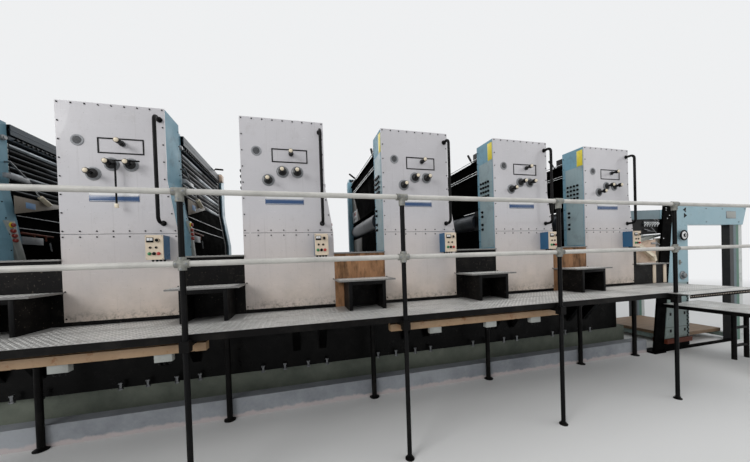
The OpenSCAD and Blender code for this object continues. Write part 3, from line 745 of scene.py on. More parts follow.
def edge_x(z):
    """Right edge of a front panel at a height, in press millimetres."""
    given = sizes()
    wide, narrow, flare = (size / MM for size in (given.panel_width, given.top_width,
                                                  given.flare))
    part = min(max((z - SEAM) / (flare - SEAM), 0), 1)
    return wide + (narrow - wide) * part


# ---- the press's pieces


class PRESS_OT_finishes(bpy.types.Operator):
    """Give every node of the frame its finish"""

    bl_idname = "press.finishes"
    bl_label = "Finishes"

    def execute(self, context):
        finishes = {node: finish for finish, nodes in NODE_FINISHES.items()
                    for node in nodes.split()}
        for name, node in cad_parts.items():
            material = coat(finishes[name])
            if not node.material_slots:
                node.data.materials.append(material)
            for slot in node.material_slots:
                slot.material = material
        return {"FINISHED"}


class PRESS_OT_panel_bolts(bpy.types.Operator):
    """Bolt heads round the front panels, in pairs along their seam"""

    bl_idname = "press.panel_bolts"
    bl_label = "Panel bolts"

    def execute(self, context):
        inset, above, below = 17, SEAM + 26, SEAM - 26
        top = UNIT_TOP - inset
        heights = [above + (top - above) * k / 7 for k in range(8)]
        heights += [below, SEAM - 270, SEAM - 510, PANEL_FOOT + 30]
        spots = [(x, 0, z) for z in heights for x in (inset, edge_x(z) - inset)]
        spots += [(inset + (edge_x(top) - 2 * inset) * k / 8, 0, top) for k in range(1, 8)]
        spots += [(inset + (edge_x(SEAM) - 2 * inset) * k / 7, 0, z)
                  for k in range(1, 7) for z in (above, below)]
        each_unit(spread(screw(sizes().bolt_radius / MM, 5), spots, "-Y"), "panel_bolts", *BOLT)
        return {"FINISHED"}


class PRESS_OT_hood_bolts(bpy.types.Operator):
    """Bolt heads down both sides of each housing"""

    bl_idname = "press.hood_bolts"
    bl_label = "Housing bolts"

    def execute(self, context):
        heights = [PANEL_FOOT + 60 + 152 * k for k in range(13)]
        heights = [z for z in heights if z > LEDGE]
        y = HOOD_DEPTH - 20
        left = spread(screw(6, 4), [(0, y, z) for z in heights], "-X")
        right = spread(screw(6, 4), [(edge_x(z), y, z) for z in heights], "+X")
        each_unit(merge([left, right]), "hood_bolts", *BOLT)
        return {"FINISHED"}


class PRESS_OT_cover_studs(bpy.types.Operator):
    """Rubber caps on the cover plates' studs, with four more studs in a row below them"""

    bl_idname = "press.cover_studs"
    bl_label = "Cover studs"

    def execute(self, context):
        spots = [(-20, 96 + 50 * j, UNIT_TOP - 524 - 60 * k) for j in range(4)
                 for k in range(4)]
        caps = spread(turned([(-14, 14), (-8, 16), (0, 16), (5, 12)], 14), spots, "-X")
        column = [(-4, 240, z) for z in (2345, 2285, 2175, 2112)]
        studs = spread(turned([(0, 19), (5, 19), (8, 12), (18, 12), (22, 9)], 14), column, "-X")
        each_unit(merge([caps, studs]), "cover_studs", *PLASTIC)
        screws = spread(screw(4, 2), [(-4, y, z) for y in (34, 276)
                                      for z in (1882, 2150, 2430, 2710, 2972)], "-X")
        each_unit(screws, "cover_screws", *STEEL)
        return {"FINISHED"}


class PRESS_OT_bare_labels(bpy.types.Operator):
    """Bare plates and labels: nothing is written on any of them"""

    bl_idname = "press.bare_labels"
    bl_label = "Bare labels"

    def execute(self, context):
        each_unit(block((-1.5, 22, 2994), (0, 108, 3214), 0.4), "yellow_labels",
                  "label_yellow", "cream_cap")
        each_unit(block((223, -4.5, 2361), (608, -3, 2416), 0.5), "plate_bands", "plate_blue",
                  "plate_blue")
        each_unit(blocks([((229, -5.2, z), (602, -4.4, z + 3)) for z in (2366, 2408)], 0.3),
                  "plate_lines", "plate_white", "plate_blue")
        rivets = spread(screw(3, 1.5), [(x, -3, z) for x in (231, 600) for z in (2424, 2457)],
                        "-Y")
        each_unit(rivets, "plate_rivets", "bright_steel", "plate_blue")
        return {"FINISHED"}


class PRESS_OT_corner_posts(bpy.types.Operator):
    """Enamelled post at the far left corner of each unit"""

    bl_idname = "press.corner_posts"
    bl_label = "Corner posts"

    def execute(self, context):
        each_unit(block((-45, 1930, LEDGE), (29, 2058, 3158), 3), "corner_posts",
                  "housing_enamel", "hood_teal")
        return {"FINISHED"}


class PRESS_OT_turn_knob_rims(bpy.types.Operator):
    """Steel rim and finger ribs of each turn knob"""

    bl_idname = "press.turn_knob_rims"
    bl_label = "Turn knob rims"

    def execute(self, context):
        knobs = [(x, 0, PANEL_FOOT + z) for x, z in ((260, 1327), (403, 1418), (553, 1419))]
        rim = turned([(0, 62), (3, 62), (6, 59), (6.5, 52), (3, 50)], 32)
        each_unit(spread(rim, knobs, "-Y"), "knob_rims", *STEEL)
        spots = [spot for x, y, z in knobs
                 for spot in ring_of(x, -66, z, 24, [math.tau * k / 8 for k in range(8)])]
        ribs = turned([(0, 3.2), (2, 4), (30, 4), (33, 3)], 8)
        each_unit(spread(ribs, spots, "-Y"), "knob_ribs", *PLASTIC)
        return {"FINISHED"}


class PRESS_OT_vent_faces(bpy.types.Operator):
    """Slats and screws of the round vents"""

    bl_idname = "press.vent_faces"
    bl_label = "Vent faces"

    def execute(self, context):
        x, z, radius, pitch, thick = 153, PANEL_FOOT + 1622, 33, 7.4, 3.2
        slats = []
        for rise in [pitch * k for k in range(-4, 5)]:
            half, low = math.sqrt(radius ** 2 - rise ** 2), z + rise - thick / 2
            slats.append(((x - half, -5.5, low), (x + half, -2.6, low + thick)))
        each_unit(blocks(slats, 0.5), "vent_slats", "scuffed_black", "vent_grey")
        each_unit(spread(screw(3, 1.5, 8), ring_of(x, -5.6, z, 42, (0.8, 2.4, 3.9, 5.5)), "-Y"),
                  "vent_screws", "oiled_steel", "vent_grey")
        return {"FINISHED"}


class PRESS_OT_control_fittings(bpy.types.Operator):
    """Meter, dials, buttons, screws and glands of the control boxes"""

    bl_idname = "press.control_fittings"
    bl_label = "Control fittings"

    def execute(self, context):
        left, face, low = 700, -145, PANEL_FOOT + 533
        top = low + 222
        each_unit(block((left + 10, face - 6, top - 66), (left + 66, face, top - 22), 2),
                  "meter_cases", *PLASTIC)
        each_unit(block((left + 15, face - 7, top - 50), (left + 61, face - 5.9, top - 27), 0.6),
                  "meter_faces", "plate_white", "box_cream")
        each_unit(block((left + 37, face - 7.8, top - 49), (left + 38.5, face - 6.8, top - 31),
                        0.2), "meter_needles", *PLASTIC)
        dial = spread(turned([(0, 19), (3, 19), (5, 15), (16, 14), (18, 12)], 20),
                      [(left + 96, face - 1, top - 48)], "-Y")
        grip = block((left + 93.5, face - 24, top - 62), (left + 98.5, face - 17, top - 34), 1.2)
        small = spread(turned([(0, 11), (3, 11), (9.5, 8), (11, 6)], 14),
                       [(left + x, face, top - 112) for x in (38, 84)], "-Y")
        middle = spread(turned([(0, 15), (4, 15), (11, 12), (13, 9)], 18),
                        [(left + 66, face, top - 168)], "-Y")
        each_unit(merge([dial, grip, small, middle]), "dials", *PLASTIC)
        for x, name, finish in ((30, "start_buttons", "button_green"),
                                (102, "stop_buttons", "button_red")):
            button = spread(turned([(0, 15), (4, 15), (4.5, 13), (13, 12), (15, 9)], 18),
                            [(left + x, face, top - 168)], "-Y")
            each_unit(button, name, finish, "box_cream")
        glands = spread(turned([(0, 11), (8, 11), (9, 8), (24, 8), (26, 6)], 12),
                        [(left + x, -70, low) for x in (24, 56, 88, 118)], "-Z")
        each_unit(glands, "box_glands", *PLASTIC)
        screws = spread(screw(3.5, 2, 8), [(left + x, face, z) for x in (8, 130)
                                           for z in (low + 8, top - 8)], "-Y")
        each_unit(screws, "box_screws", *STEEL)
        return {"FINISHED"}


class PRESS_OT_stop_strips(bpy.types.Operator):
    """Beige strip with stop buttons at the near end of each roller bank"""

    bl_idname = "press.stop_strips"
    bl_label = "Stop strips"

    def execute(self, context):
        strip = block((881, 280, 1850), (916, 362, 2230), 4)
        pull(strip, lambda spot: spot.z < 2.0, bpy.ops.transform.translate, value=(0, 0.1, 0))
        each_unit(strip, "stop_strips", "grey_enamel", "box_cream")
        spots = [(916, y, z) for y, z in ((322, 2190), (322, 2135), (334, 2090), (340, 2046))]
        button = turned([(0, 15), (9, 15), (11, 19), (21, 19), (26, 15)], 18)
        each_unit(spread(button, spots, "+X"), "strip_buttons", "button_dark", "box_cream")
        each_unit(spread(turned([(0, 25), (4, 25), (6, 21)], 18), spots[:1], "+X"),
                  "strip_rings", "label_yellow", "box_cream")
        return {"FINISHED"}


class PRESS_OT_roller_gear(bpy.types.Operator):
    """Bearing blocks, gears and duct screws of the roller banks"""

    bl_idname = "press.roller_gear"
    bl_label = "Roller gear"

    def execute(self, context):
        heights = [ROLLER_TOP - k * ROLLER_PITCH for k in range(ROLLERS)]
        axes = [(edge_x(z) - 48, z) for z in heights]
        bearings = blocks([((x - 22, y, z - 20), (x + 17, y + 12, z + 20))
                           for y in (INNER, FAR_INNER - 12) for x, z in axes], 2)
        each_unit(bearings, "bearing_blocks", "grey_enamel", "dark_steel")
        gears = spread(turned([(0, 25), (2, 27), (9, 27), (11, 25), (11, 15), (16, 15)], 20),
                       [(x, FAR_INNER - 24, z) for x, z in axes[::2]], "-Y")
        each_unit(gears, "roller_gears", *STEEL)
        screws = spread(turned([(-2, 7), (12, 7), (13, 11), (24, 11), (26, 8)], 12),
                        [(818, INNER + 60 + 56 * k, ROOF - 132) for k in range(25)], "+X")
        each_unit(screws, "duct_screws", *BOLT)
        return {"FINISHED"}


class PRESS_OT_bank_levers(bpy.types.Operator):
    """Throw levers, plates, pipes and castings at the near end of each roller bank"""

    bl_idname = "press.bank_levers"
    bl_label = "Bank levers"

    def execute(self, context):
        lever = rods(((806, 430, 2812), (846, 430, 2812), 9),
                     ((846, 426, 2820), (866, 618, 2655), 8))
        each_unit(lever, "throw_levers", *STEEL)
        each_unit(rod((866, 612, 2662), (885, 690, 2520), 6), "lever_links", *BRIGHT)
        each_unit(rod((884, 690, 2532), (893, 800, 2462), 24, edge=6), "lever_grips", *CREAM)
        plate = block((866, 424, 2312), (872, 1010, 2488), 1.5)
        far = place(0, 900, 0).y
        pull(plate, lambda spot: spot.y > far, bpy.ops.transform.resize, value=(1, 1, 0.15),
             center_override=place(866, 1010, 2496))
        each_unit(plate, "end_plates", "plate_beige", "box_cream")
        each_unit(block((872, 540, 2388), (873.5, 650, 2448), 0.6), "end_tags", "tag_blue",
                  "plate_blue")
        casting = merge([block((846, 348, 2646), (880, 590, 2690), 5),
                         spread(turned([(0, 26), (20, 26), (24, 20), (34, 18)], 16),
                                [(806, 412, 3040)], "+X")])
        each_unit(casting, "bank_castings", *VENT)
        across = rods(((852, INNER, 2300), (852, FAR_INNER, 2300), 5),
                      ((862, INNER, 2178), (862, FAR_INNER, 2178), 5))
        each_unit(across, "gap_rods", *STEEL)
        pipes = rods(((885, INNER - 6, 2130), (885, 830, 2118), 11),
                     ((885, 600, 2126), (885, 600, 2080), 9),
                     ((885, 740, 2122), (885, 740, 2064), 8))
        each_unit(pipes, "ink_pipes", "red_oxide", "foot_red")
        shelf = merge([block((874, INNER - 4, 2020), (898, 690, 2094), 3),
                       rod((890, 780, 2050), (890, 800, 1960), 6)])
        each_unit(shelf, "gap_shelves", *VENT)
        return {"FINISHED"}


class PRESS_OT_left_banks(bpy.types.Operator):
    """Rods, dirty end plates, signs and small boxes on the left side of the inking banks"""

    bl_idname = "press.left_banks"
    bl_label = "Left side of the banks"

    def execute(self, context):
        bars = rods(*(((6, NEAR + 4, z), (6, FAR_INNER + 120, z), 6)
                      for z in (ROOF - 84, ROOF - 262, ROOF - 292)))
        each_unit(bars, "bank_rods", *BRIGHT)
        upper = block((20, 1330, 2402), (24.6, 1926, ROOF - 345), 1)
        near = place(0, 1400, 0).y
        pull(upper, lambda spot: spot.y < near and spot.z > 2.6, bpy.ops.transform.translate,
             value=(0, 0.42, 0))
        each_unit(merge([upper, block((20, 1240, LEDGE + 3), (24.6, 1926, 2108), 1)]),
                  "bank_ends", "inner_paint", "guard_black")
        each_unit(block((17, 1500, 2412), (20, 1900, 2600), 0.8), "inner_signs", *SIGN)
        each_unit(block((15.6, 1600, 2515), (17.4, 1770, 2575), 0.5), "sign_marks",
                  "button_red", "foot_red")
        spots = blocks([((15.6, y, 2440), (17.4, y + 50, 2480)) for y in (1590, 1680, 1770)],
                       0.5)
        each_unit(spots, "sign_spots", *PLASTIC)
        each_unit(block((806, 1936, ROOF - 88), (874, 2056, ROOF + 18), 4), "roof_boxes",
                  "cabinet_enamel", "box_cream")
        return {"FINISHED"}


class PRESS_OT_duct_handles(bpy.types.Operator):
    """Black handles and hinges of the ink duct covers"""

    bl_idname = "press.duct_handles"
    bl_label = "Duct handles"

    def execute(self, context):
        parts = []
        for y, lean in ((500, 0), (1640, -95)):
            parts += [rod((52, y, ROOF - 112), (46, y + 52, ROOF - 30), 10),
                      rod((46, y + 48, ROOF - 36), (46 + lean, y + 112, ROOF + 62), 15, edge=4),
                      block((34, y - 34, ROOF - 112), (70, y + 34, ROOF - 90), 3)]
        for y in (560, 1197, 1830):
            parts.append(block((345, y - 45, ROOF - 27), (362, y + 45, ROOF - 13), 2))
        each_unit(merge(parts), "duct_handles", *BLACK)
        x = sizes().pitch / MM
        lever = merge([rod((x + 800, 1700, ROOF - 8), (x + 846, 1704, ROOF + 30), 8),
                       rod((x + 840, 1704, ROOF + 30), (x + 952, 1712, ROOF + 26), 13, edge=4)])
        hand_over(lever, "roof_lever", *BLACK)
        each_unit(rod((829, INNER, ROOF - 52), (829, FAR_INNER, ROOF - 52), 9),
                  "duct_edges", "slate_enamel", "slate_cover")
        return {"FINISHED"}


class PRESS_OT_hung_bar(bpy.types.Operator):
    """Square bar with a pale end that hangs on the turn knobs of the second unit"""

    bl_idname = "press.hung_bar"
    bl_label = "Hung bar"

    def execute(self, context):
        x = sizes().pitch / MM + 452
        bar = merge([block((x - 6, -56, 2330), (x + 6, -44, 2729), 1.5),
                     block((x - 14, -56, 2718), (x + 190, -44, 2730), 1.5),
                     rod((x - 6, -50, 2700), (x + 8, -50, 2700), 10)])
        hand_over(bar, "hung_bar", *BLACK)
        hand_over(block((x - 13, -62, 2296), (x + 13, -38, 2334), 3), "hung_bar_end", *CREAM)
        return {"FINISHED"}


class PRESS_OT_toe_strips(bpy.types.Operator):
    """Ribs of the black toe strips at the foot of the front panels"""

    bl_idname = "press.toe_strips"
    bl_label = "Toe strips"

    def execute(self, context):
        rib = block((134, -3, DECK_TOP + 2), (142, 2, PANEL_FOOT - 1), 1, 1)
        each_unit(row(rib, 48, 16, 0, 0), "toe_ribs", *PAINT)
        return {"FINISHED"}


class PRESS_OT_tread_marks(bpy.types.Operator):
    """Raised marks of the tread plate on the walkway, the steps and the platforms"""

    bl_idname = "press.tread_marks"
    bl_label = "Tread marks"

    def execute(self, context):
        wide, pitch = sizes().panel_width / MM, sizes().pitch / MM
        hand_over(self.marks(((DECK_START + 20, -752), (DECK_END - 20, -330), DECK_TOP),
                             ((LANDING + 12, -950), (DECK_END - 20, -782), DECK_TOP)),
                  "deck_marks", *TREAD)
        each_unit(self.marks(((20, -318), (911, -20), DECK_TOP)), "panel_foot_marks", *TREAD)
        each_unit(self.marks(((wide + 8, -328), (pitch - 8, -12), STEP),
                             ((wide + 12, 8), (pitch - 12, 460), LEDGE)),
                  "step_marks", *TREAD, UNITS - 1)
        hand_over(self.marks(((8440, -30), (DECK_END + 46, 310), STEP),
                             ((9565, -945), (10440, 320), 832)), "platform_marks", *TREAD)
        return {"FINISHED"}

    def marks(self, *fields):
        """Fills each field with two crossed rows of long low marks.

        A field is its two corners, X and Y, and its height.
        """
        gap = sizes().tread_pitch / MM
        filled = []
        for (left, near), (right, far), z in fields:
            pair = merge([self.mark(left + gap * part, near + gap * part, z, turn)
                          for part, turn in ((0.25, SLANT), (0.75, -SLANT))])
            row(pair, max(1, int((right - left) / gap)), gap, 0, 0)
            filled.append(row(pair, max(1, int((far - near) / gap)), 0, gap, 0))
        return merge(filled)

    def mark(self, x, y, z, turn):
        """One raised mark: a low bar drawn in towards its top."""
        half = 0.0009
        piece = reshape(cuboid((0, 0, 0), (0.027, 0.008, 2 * half)), "faces", "FACE",
                        lambda face: face.normal.z > 0.9, bpy.ops.transform.resize,
                        value=(0.62, 0.45, 1), center_override=(0, 0, half))
        piece.matrix_world = (Matrix.Translation(place(x, y, z) + Vector((0, 0, half)))
                              @ Matrix.Rotation(turn, 4, "Z"))
        return settle(piece)


class PRESS_OT_rail_screws(bpy.types.Operator):
    """Set screws in the handrail's fittings"""

    bl_idname = "press.rail_screws"
    bl_label = "Rail set screws"

    def execute(self, context):
        around = ((-32, 29, 1036), (32, 29, 1036), (0, 28, 980), (-34, 29, 519), (34, 29, 519),
                  (0, 28, 480), (0, 28, 558))
        spots = [(x + dx, RAIL_Y - out, DECK_TOP + z) for x in POSTS for dx, out, z in around]
        hand_over(spread(turned([(-3, 8), (2, 8), (3, 6), (1, 4)], 12), spots, "-Y"),
                  "rail_screws", "oiled_steel", "clamp_grey")
        return {"FINISHED"}


class PRESS_OT_under_deck(bpy.types.Operator):
    """Levelling feet, brackets and tray fittings under the walkway"""

    bl_idname = "press.under_deck"
    bl_label = "Under the walkway"

    def execute(self, context):
        feet = spread(turned([(0, 62), (8, 62), (12, 44), (18, 36)], 20),
                      [(x, FAR_LEGS_Y, 0) for x in POSTS[:-1] + [DECK_END - 60]])
        pads = spread(turned([(0, 40), (8, 40), (11, 26), (26, 26)], 18),
                      [(x, RAIL_Y, 0) for x in POSTS])
        hand_over(merge([feet, pads]), "leg_feet", *SCUFFED)
        hangers = blocks([((x - 15, low, base), (x + 15, high, top))
                          for start in POSTS[1:4:2]
                          for x in (start + 60, start + 640, start + 1240, start + 1700)
                          for low, base, high, top in ((-690, 1098, -618, 1104),
                                                       (-622, 1100, -617, 1236))], 1)
        hand_over(hangers, "tray_hangers", *SCUFFED)
        starts = (1250, 1820, 2450, 4680, 5290, 5830)
        hand_over(blocks([((x, -680, 1040), (x + 120, -630, 1101)) for x in starts], 4),
                  "terminal_boxes", "grey_enamel", "tray_beige")
        glands = spread(turned([(0, 12), (7, 12), (8, 9), (22, 9), (24, 7)], 10),
                        [(x + dx, -655, 1040) for x in starts for dx in (25, 60, 95)], "-Z")
        hand_over(glands, "terminal_glands", *PLASTIC)
        bolts = spread(turned([(0, 26), (16, 26), (17, 14), (60, 14), (62, 22), (80, 22)], 6),
                       [(u * sizes().pitch / MM + dx, 640, PLINTH) for u in range(UNITS)
                        for dx in (60, 320, 610, 850)])
        hand_over(bolts, "jacking_bolts", *STEEL)
        return {"FINISHED"}


class PRESS_OT_step_fronts(bpy.types.Operator):
    """Folded edges round the openings of the steps, and the pale posts of the last one"""

    bl_idname = "press.step_fronts"
    bl_label = "Step fronts"

    def execute(self, context):
        left, top = sizes().panel_width / MM + 97, STEP - 15
        right = left + 385
        fronts = blocks([((left, -326, DECK_TOP), (left + 34, -318, top)),
                         ((right - 34, -326, DECK_TOP), (right, -318, top)),
                         ((left + 30, -326, STEP - 50), (right - 30, -318, top))], 1.5)
        each_unit(fronts, "step_edges", *PAINT, UNITS - 1)
        posts = blocks([((x, -8, DECK_TOP + 6), (x + 60, 3, STEP - 18)) for x in (8755, 8980)],
                       3)
        hand_over(posts, "step_posts", "cream_enamel", "box_cream")
        return {"FINISHED"}


class PRESS_OT_feeder_fittings(bpy.types.Operator):
    """The feeder's bare badge, hub, latch, bolts and chain, and the landing's nosing"""

    bl_idname = "press.feeder_fittings"
    bl_label = "Feeder fittings"

    def execute(self, context):
        hand_over(block((11258, NEAR - 5, 2304), (11535, NEAR, 2440), 2), "badge_rim", *STEEL)
        hand_over(block((11268, NEAR - 6.5, 2314), (11525, NEAR - 4, 2430), 1), "badge_blank",
                  "grey_enamel", "table_grey")
        up, down = (spread(turned([(0, 50), (2.5, 50)], 3), [(10142, NEAR, z)], "-Y", roll)
                    for z, roll in ((2452, math.pi / 2), (2352, -math.pi / 2)))
        hand_over(merge([up, down]), "feeder_arrows", *PAINT, smooth=20)
        hub = spread(turned([(0, 74), (10, 74), (14, 68), (16, 48), (42, 44), (50, 34)], 28),
                     [(10049, NEAR, 1298)], "-Y")
        hand_over(hub, "feeder_hub", *STEEL)
        latch = merge([block((9962, NEAR - 10, 1490), (10002, NEAR, 1572), 4),
                       rod((9982, NEAR - 34, 1531), (9982, NEAR, 1531), 9, edge=2)])
        hand_over(latch, "feeder_latch", "cast_clamp", "clamp_grey")
        nosing = spread(turned([(0, 8), (2, 8), (3, 5)], 8),
                        [(LANDING + 18 + 30 * k, -960, DECK_TOP - 24) for k in range(42)], "-Y")
        hand_over(nosing, "nosing_studs", "plate_beige", "tread_plate")
        hand_over(block((LANDING, -961.5, DECK_TOP - 46), (DECK_END, -955, DECK_TOP - 4), 0.6),
                  "nosing_strip", "column_black", "tread_plate")
        squares = blocks([((x - 22, NEAR - 4, z - 26), (x + 22, NEAR, z + 26))
                          for z in (633, 343) for x in (9729, 10083)], 2)
        hand_over(squares, "socket_plates", *BLACK)
        bolts = spread(screw(9, 6, 12), [(x, NEAR, z) for x, z in (
            (9880, 2480), (11800, 2490), (9880, 2250), (10140, 2440), (11620, 2240),
            (10700, 2480), (10700, 2240), (11150, 2480))], "-Y")
        hand_over(bolts, "feeder_bolts", *STEEL)
        links = blocks([((x, NEAR - 8, z), (x + 30, NEAR, z + 30))
                        for x, z in ((10136, 222), (10156, 256))], 3)
        hand_over(row(links, 14, 0, 0, 68), "column_chain", "oily_black", "dark_steel")
        return {"FINISHED"}


class PRESS_OT_infeed_fittings(bpy.types.Operator):
    """Chute, guard plates, valves and small steel parts beside the infeed"""

    bl_idname = "press.infeed_fittings"
    bl_label = "Infeed fittings"

    def execute(self, context):
        chute = merge([self.slope((8866, 1884), (9276, 1652), 58),
                       self.slope((9268, 1666), (9294, 1578), 50)])
        hand_over(chute, "infeed_chute", *CREAM)
        hand_over(block((9401, 362, DECK_TOP + 2), (9570, 370, 1960), 1), "infeed_guard",
                  "inner_paint", "black_paint")
        hand_over(block((9551, 388, 2045), (9720, 396, 2310), 1), "head_guard", "column_black",
                  "black_paint")
        valve = merge([block((9186, 356, 2182), (9226, 386, 2236), 4),
                       rod((9206, 342, 2212), (9206, 357, 2212), 13, edge=3),
                       rod((9200, 366, 2160), (9200, 366, 2184), 7)])
        hand_over(row(valve, 6, 60, 0, 0), "head_valves", *BRIGHT)
        bars = rods(((9190, 370, 2250), (9545, 370, 2250), 6),
                    ((9196, 370, 2118), (9330, 370, 2092), 7),
                    ((9250, 362, 2086), (9420, 362, 2080), 5),
                    ((9352, 362, 2146), (9470, 362, 2056), 6),
                    ((9400, 366, 2294), (9462, 366, 2268), 8),
                    ((9476, 366, 2296), (9540, 366, 2262), 8))
        hand_over(bars, "head_rods", *STEEL)
        ledges = merge([blocks([((9404, 338, 1852), (9492, 362, 1872)),
                                ((9404, 338, 1808), (9482, 362, 1832)),
                                ((9290, 318, 1862), (9398, 335, 1888))], 2),
                        rod((9404, 330, 1900), (9490, 330, 1842), 6)])
        hand_over(ledges, "infeed_ledges", *VENT)
        bolts = spread(screw(11, 6, 12), [(x, NEAR, z) for x, z in (
            (9664, 2476), (9663, 2436), (9745, 2349), (9692, 2296), (9588, 1954),
            (9560, 1500), (9470, 1380), (9700, 1760))], "-Y")
        hand_over(bolts, "column_bolts", *BRIGHT)
        return {"FINISHED"}

    def slope(self, start, end, width):
        """A covered channel that slopes down the cabinet's near face."""
        a, b = (place(x, 300, z) for x, z in (start, end))
        piece = cuboid((0, 0, 0), ((b - a).length, 70 * MM, width * MM))
        reshape(piece, "faces", "FACE", lambda face: face.normal.y < -0.9, self.sink)
        soften(piece)
        dip = math.atan2(a.z - b.z, b.x - a.x)
        piece.matrix_world = Matrix.Translation((a + b) / 2) @ Matrix.Rotation(dip, 4, "Y")
        return settle(piece)

    def sink(self):
        bpy.ops.mesh.inset(thickness=9 * MM)
        bpy.ops.transform.translate(value=(0, 5 * MM, 0))


class PRESS_OT_handwheel_face(bpy.types.Operator):
    """Pale ring and hub cap of the feeder's handwheel"""

    bl_idname = "press.handwheel_face"
    bl_label = "Handwheel face"

    def execute(self, context):
        x, z = (WHEEL.x - LEFT) / MM, WHEEL.z / MM
        for name, steps, sides, out in (
                ("ring", [(0, 66), (3, 66), (7, 60), (7, 40), (3, 36)], 40, 46),
                ("cap", [(0, 12), (4, 12), (6, 8)], 20, 62)):
            hand_over(spread(turned(steps, sides), [(x, NEAR - out, z)], "-Y"),
                      "handwheel_" + name, *SIGN, "handwheel")
        return {"FINISHED"}


class PRESS_OT_rear_fittings(bpy.types.Operator):
    """Bolts, doors, handles and louvres on the far side of the units"""

    bl_idname = "press.rear_fittings"
    bl_label = "Rear fittings"

    def execute(self, context):
        inset, face = 17, FAR_FACE
        heights = [PANEL_FOOT + 40 + 157 * k for k in range(13)]
        spots = [(x, face, z) for z in heights if z < UNIT_TOP - 10
                 for x in (inset, edge_x(z) - inset)]
        spots += [(inset + 133 * k, face, UNIT_TOP - inset) for k in range(1, 6)]
        each_unit(spread(screw(sizes().bolt_radius / MM, 5), spots, "+Y"), "rear_bolts", *BOLT)
        doors = blocks([((left, face - 1, 1500), (right, face + 5, 2500))
                        for left, right in ((70, 420), (440, 770))], 2)
        each_unit(doors, "rear_doors", "rear_enamel", "pale_panel")
        handles = []
        for x in (392, 468):
            handles += [rod((x, face + 4, z), (x, face + 34, z), 6) for z in (1960, 2090)]
            handles.append(rod((x, face + 34, 1948), (x, face + 34, 2102), 7, edge=2))
        each_unit(merge(handles), "rear_handles", *BLACK)
        slat = block((110, face + 4, 2280), (380, face + 10, 2292), 1.5)
        each_unit(row(slat, 8, 0, 0, 22), "rear_louvres", *VENT)
        return {"FINISHED"}


# ---- stage


class PRESS_OT_stage(bpy.types.Operator):
    """Floor, lamps, world and camera"""

    bl_idname = "press.stage"
    bl_label = "Stage"

    def execute(self, context):
        alone()
        bpy.ops.mesh.primitive_plane_add(size=90, location=(0, 0, -0.001))
        floor = settle(bpy.context.object)
        floor.name = "floor"
        floor.data.materials.append(pale_floor())
        world = bpy.data.worlds.new("studio")
        context.scene.world = world
        world.use_nodes = True
        light_world(world.node_tree)
        for name, spot, aim, size, power in (
                ("key", (-14.0, -9.5, 8.5), (-0.5, 0, 1.6), 8.0, 1150),
                ("overhead", (1.5, -1.5, 8.0), (1.5, 0.2, 1.0), 10.0, 250),
                ("fill", (9.0, -8.0, 6.0), (2.0, 0, 1.5), 7.0, 130),
                ("back", (-1.0, 9.0, 8.0), (0, 0, 1.6), 9.0, 300)):
            lamp = bpy.data.lights.new(name, "AREA")
            lamp.energy = power
            lamp.shape = "DISK"
            lamp.size = size
            holder = bpy.data.objects.new(name, lamp)
            holder.location = spot
            way = Vector(aim) - Vector(spot)
            holder.rotation_euler = way.to_track_quat("-Z", "Y").to_euler()
            context.collection.objects.link(holder)
        set_camera(context.scene)
        return {"FINISHED"}


def seen_directly(tree):
    """1 for what the camera and mirror reflections see, and 0 for light on the object."""
    path = tree.nodes.new("ShaderNodeLightPath")
    both = tree.nodes.new("ShaderNodeMath")
    both.operation = "MAXIMUM"
    tree.links.new(path.outputs["Is Camera Ray"], both.inputs[0])
    tree.links.new(path.outputs["Is Glossy Ray"], both.inputs[1])
    return both.outputs[0]


def mix_shaders(tree, factor, unseen, seen, out):
    """Gives the output the shader for seen light where factor is 1."""
    mix = tree.nodes.new("ShaderNodeMixShader")
    for socket, source in zip(mix.inputs, (factor, unseen.outputs[0], seen.outputs[0])):
        tree.links.new(source, socket)
    tree.links.new(mix.outputs[0], out.inputs["Surface"])


def pale_floor():
    """Pale floor that runs out into the backdrop's own tone away from the press."""
    f = Finish("pale_floor", 0.8)
    f.done((0.78, 0.78, 0.77))
    tree = f.material.node_tree
    across = f.times(f.x, 0.62)
    away = f.work("SQRT", f.work("ADD", f.times(across, across), f.times(f.y, f.y)))
    glow = f.nodes.new("ShaderNodeEmission")
    glow.inputs["Color"].default_value = BACKDROP
    mix_shaders(tree, f.times(f.span(away, 5.5, 15.0), seen_directly(tree)), f.shader, glow,
                f.out)
    return f.material


def light_world(tree):
    """An even pale world: softer light on the object than what the camera sees."""
    tree.nodes.clear()
    seen, cast = (tree.nodes.new("ShaderNodeBackground") for _ in range(2))
    for background, tint, strength in ((seen, BACKDROP, 1.0), (cast, (0.95, 0.97, 1.0, 1), 0.42)):
        background.inputs["Color"].default_value = tint
        background.inputs["Strength"].default_value = strength
    mix_shaders(tree, seen_directly(tree), cast, seen, tree.nodes.new("ShaderNodeOutputWorld"))


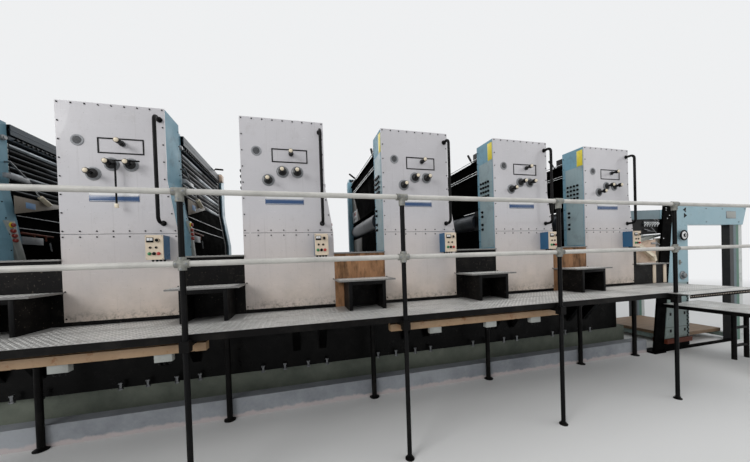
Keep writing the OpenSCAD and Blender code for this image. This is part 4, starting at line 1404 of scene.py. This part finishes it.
def set_camera(scene):
    """The photograph's viewpoint: eye height 1.75 m, turned right along the row."""
    yaw, pitch, roll = 0.2552, -0.0132, -0.0333
    ahead = Vector((math.sin(yaw) * math.cos(pitch), math.cos(yaw) * math.cos(pitch),
                    math.sin(pitch)))
    side = Vector((math.cos(yaw), -math.sin(yaw), 0))
    up = side.cross(ahead)
    right = math.cos(roll) * side + math.sin(roll) * up
    above = -math.sin(roll) * side + math.cos(roll) * up
    turn = Matrix((right, above, -ahead)).transposed().to_4x4()
    lens = bpy.data.cameras.new("camera")
    lens.sensor_width = 36
    lens.lens = 13.585
    lens.shift_x = 0.00416
    lens.shift_y = 0.0436
    lens.clip_end = 200
    holder = bpy.data.objects.new("camera", lens)
    holder.matrix_world = Matrix.Translation(place(3505.5, -3106.3, 1749.6)) @ turn
    scene.collection.objects.link(holder)
    scene.camera = holder
    scene.view_settings.view_transform = "Standard"


PIECES = (
    PRESS_OT_finishes, PRESS_OT_panel_bolts, PRESS_OT_hood_bolts, PRESS_OT_cover_studs,
    PRESS_OT_bare_labels, PRESS_OT_corner_posts, PRESS_OT_turn_knob_rims, PRESS_OT_vent_faces,
    PRESS_OT_control_fittings, PRESS_OT_stop_strips, PRESS_OT_roller_gear,
    PRESS_OT_bank_levers, PRESS_OT_left_banks, PRESS_OT_duct_handles, PRESS_OT_hung_bar,
    PRESS_OT_toe_strips, PRESS_OT_tread_marks, PRESS_OT_rail_screws, PRESS_OT_under_deck,
    PRESS_OT_step_fronts, PRESS_OT_feeder_fittings, PRESS_OT_infeed_fittings,
    PRESS_OT_handwheel_face, PRESS_OT_rear_fittings, PRESS_OT_stage)


class PRESS_PT_sidebar(bpy.types.Panel):
    """The press's pieces, sizes and colours"""

    bl_label = "Printing press"
    bl_idname = "PRESS_PT_sidebar"
    bl_space_type = "VIEW_3D"
    bl_region_type = "UI"
    bl_category = "Press"

    def draw(self, context):
        column = self.layout.column()
        for piece in PIECES:
            column.operator(piece.bl_idname)
        for group in (context.scene.press_sizes, context.scene.press_colours):
            for key in group.__annotations__:
                column.prop(group, key)


CLASSES = (PressSizes, PressColours) + PIECES + (PRESS_PT_sidebar,)


def register():
    for item in CLASSES:
        bpy.utils.register_class(item)
    bpy.types.Scene.press_sizes = bpy.props.PointerProperty(type=PressSizes)
    bpy.types.Scene.press_colours = bpy.props.PointerProperty(type=PressColours)


def unregister():
    del bpy.types.Scene.press_colours
    del bpy.types.Scene.press_sizes
    for item in reversed(CLASSES):
        bpy.utils.unregister_class(item)


def main():
    register()
    for piece in PIECES:
        group, name = piece.bl_idname.split(".")
        getattr(getattr(bpy.ops, group), name)()


if __name__ == "__main__":
    main()
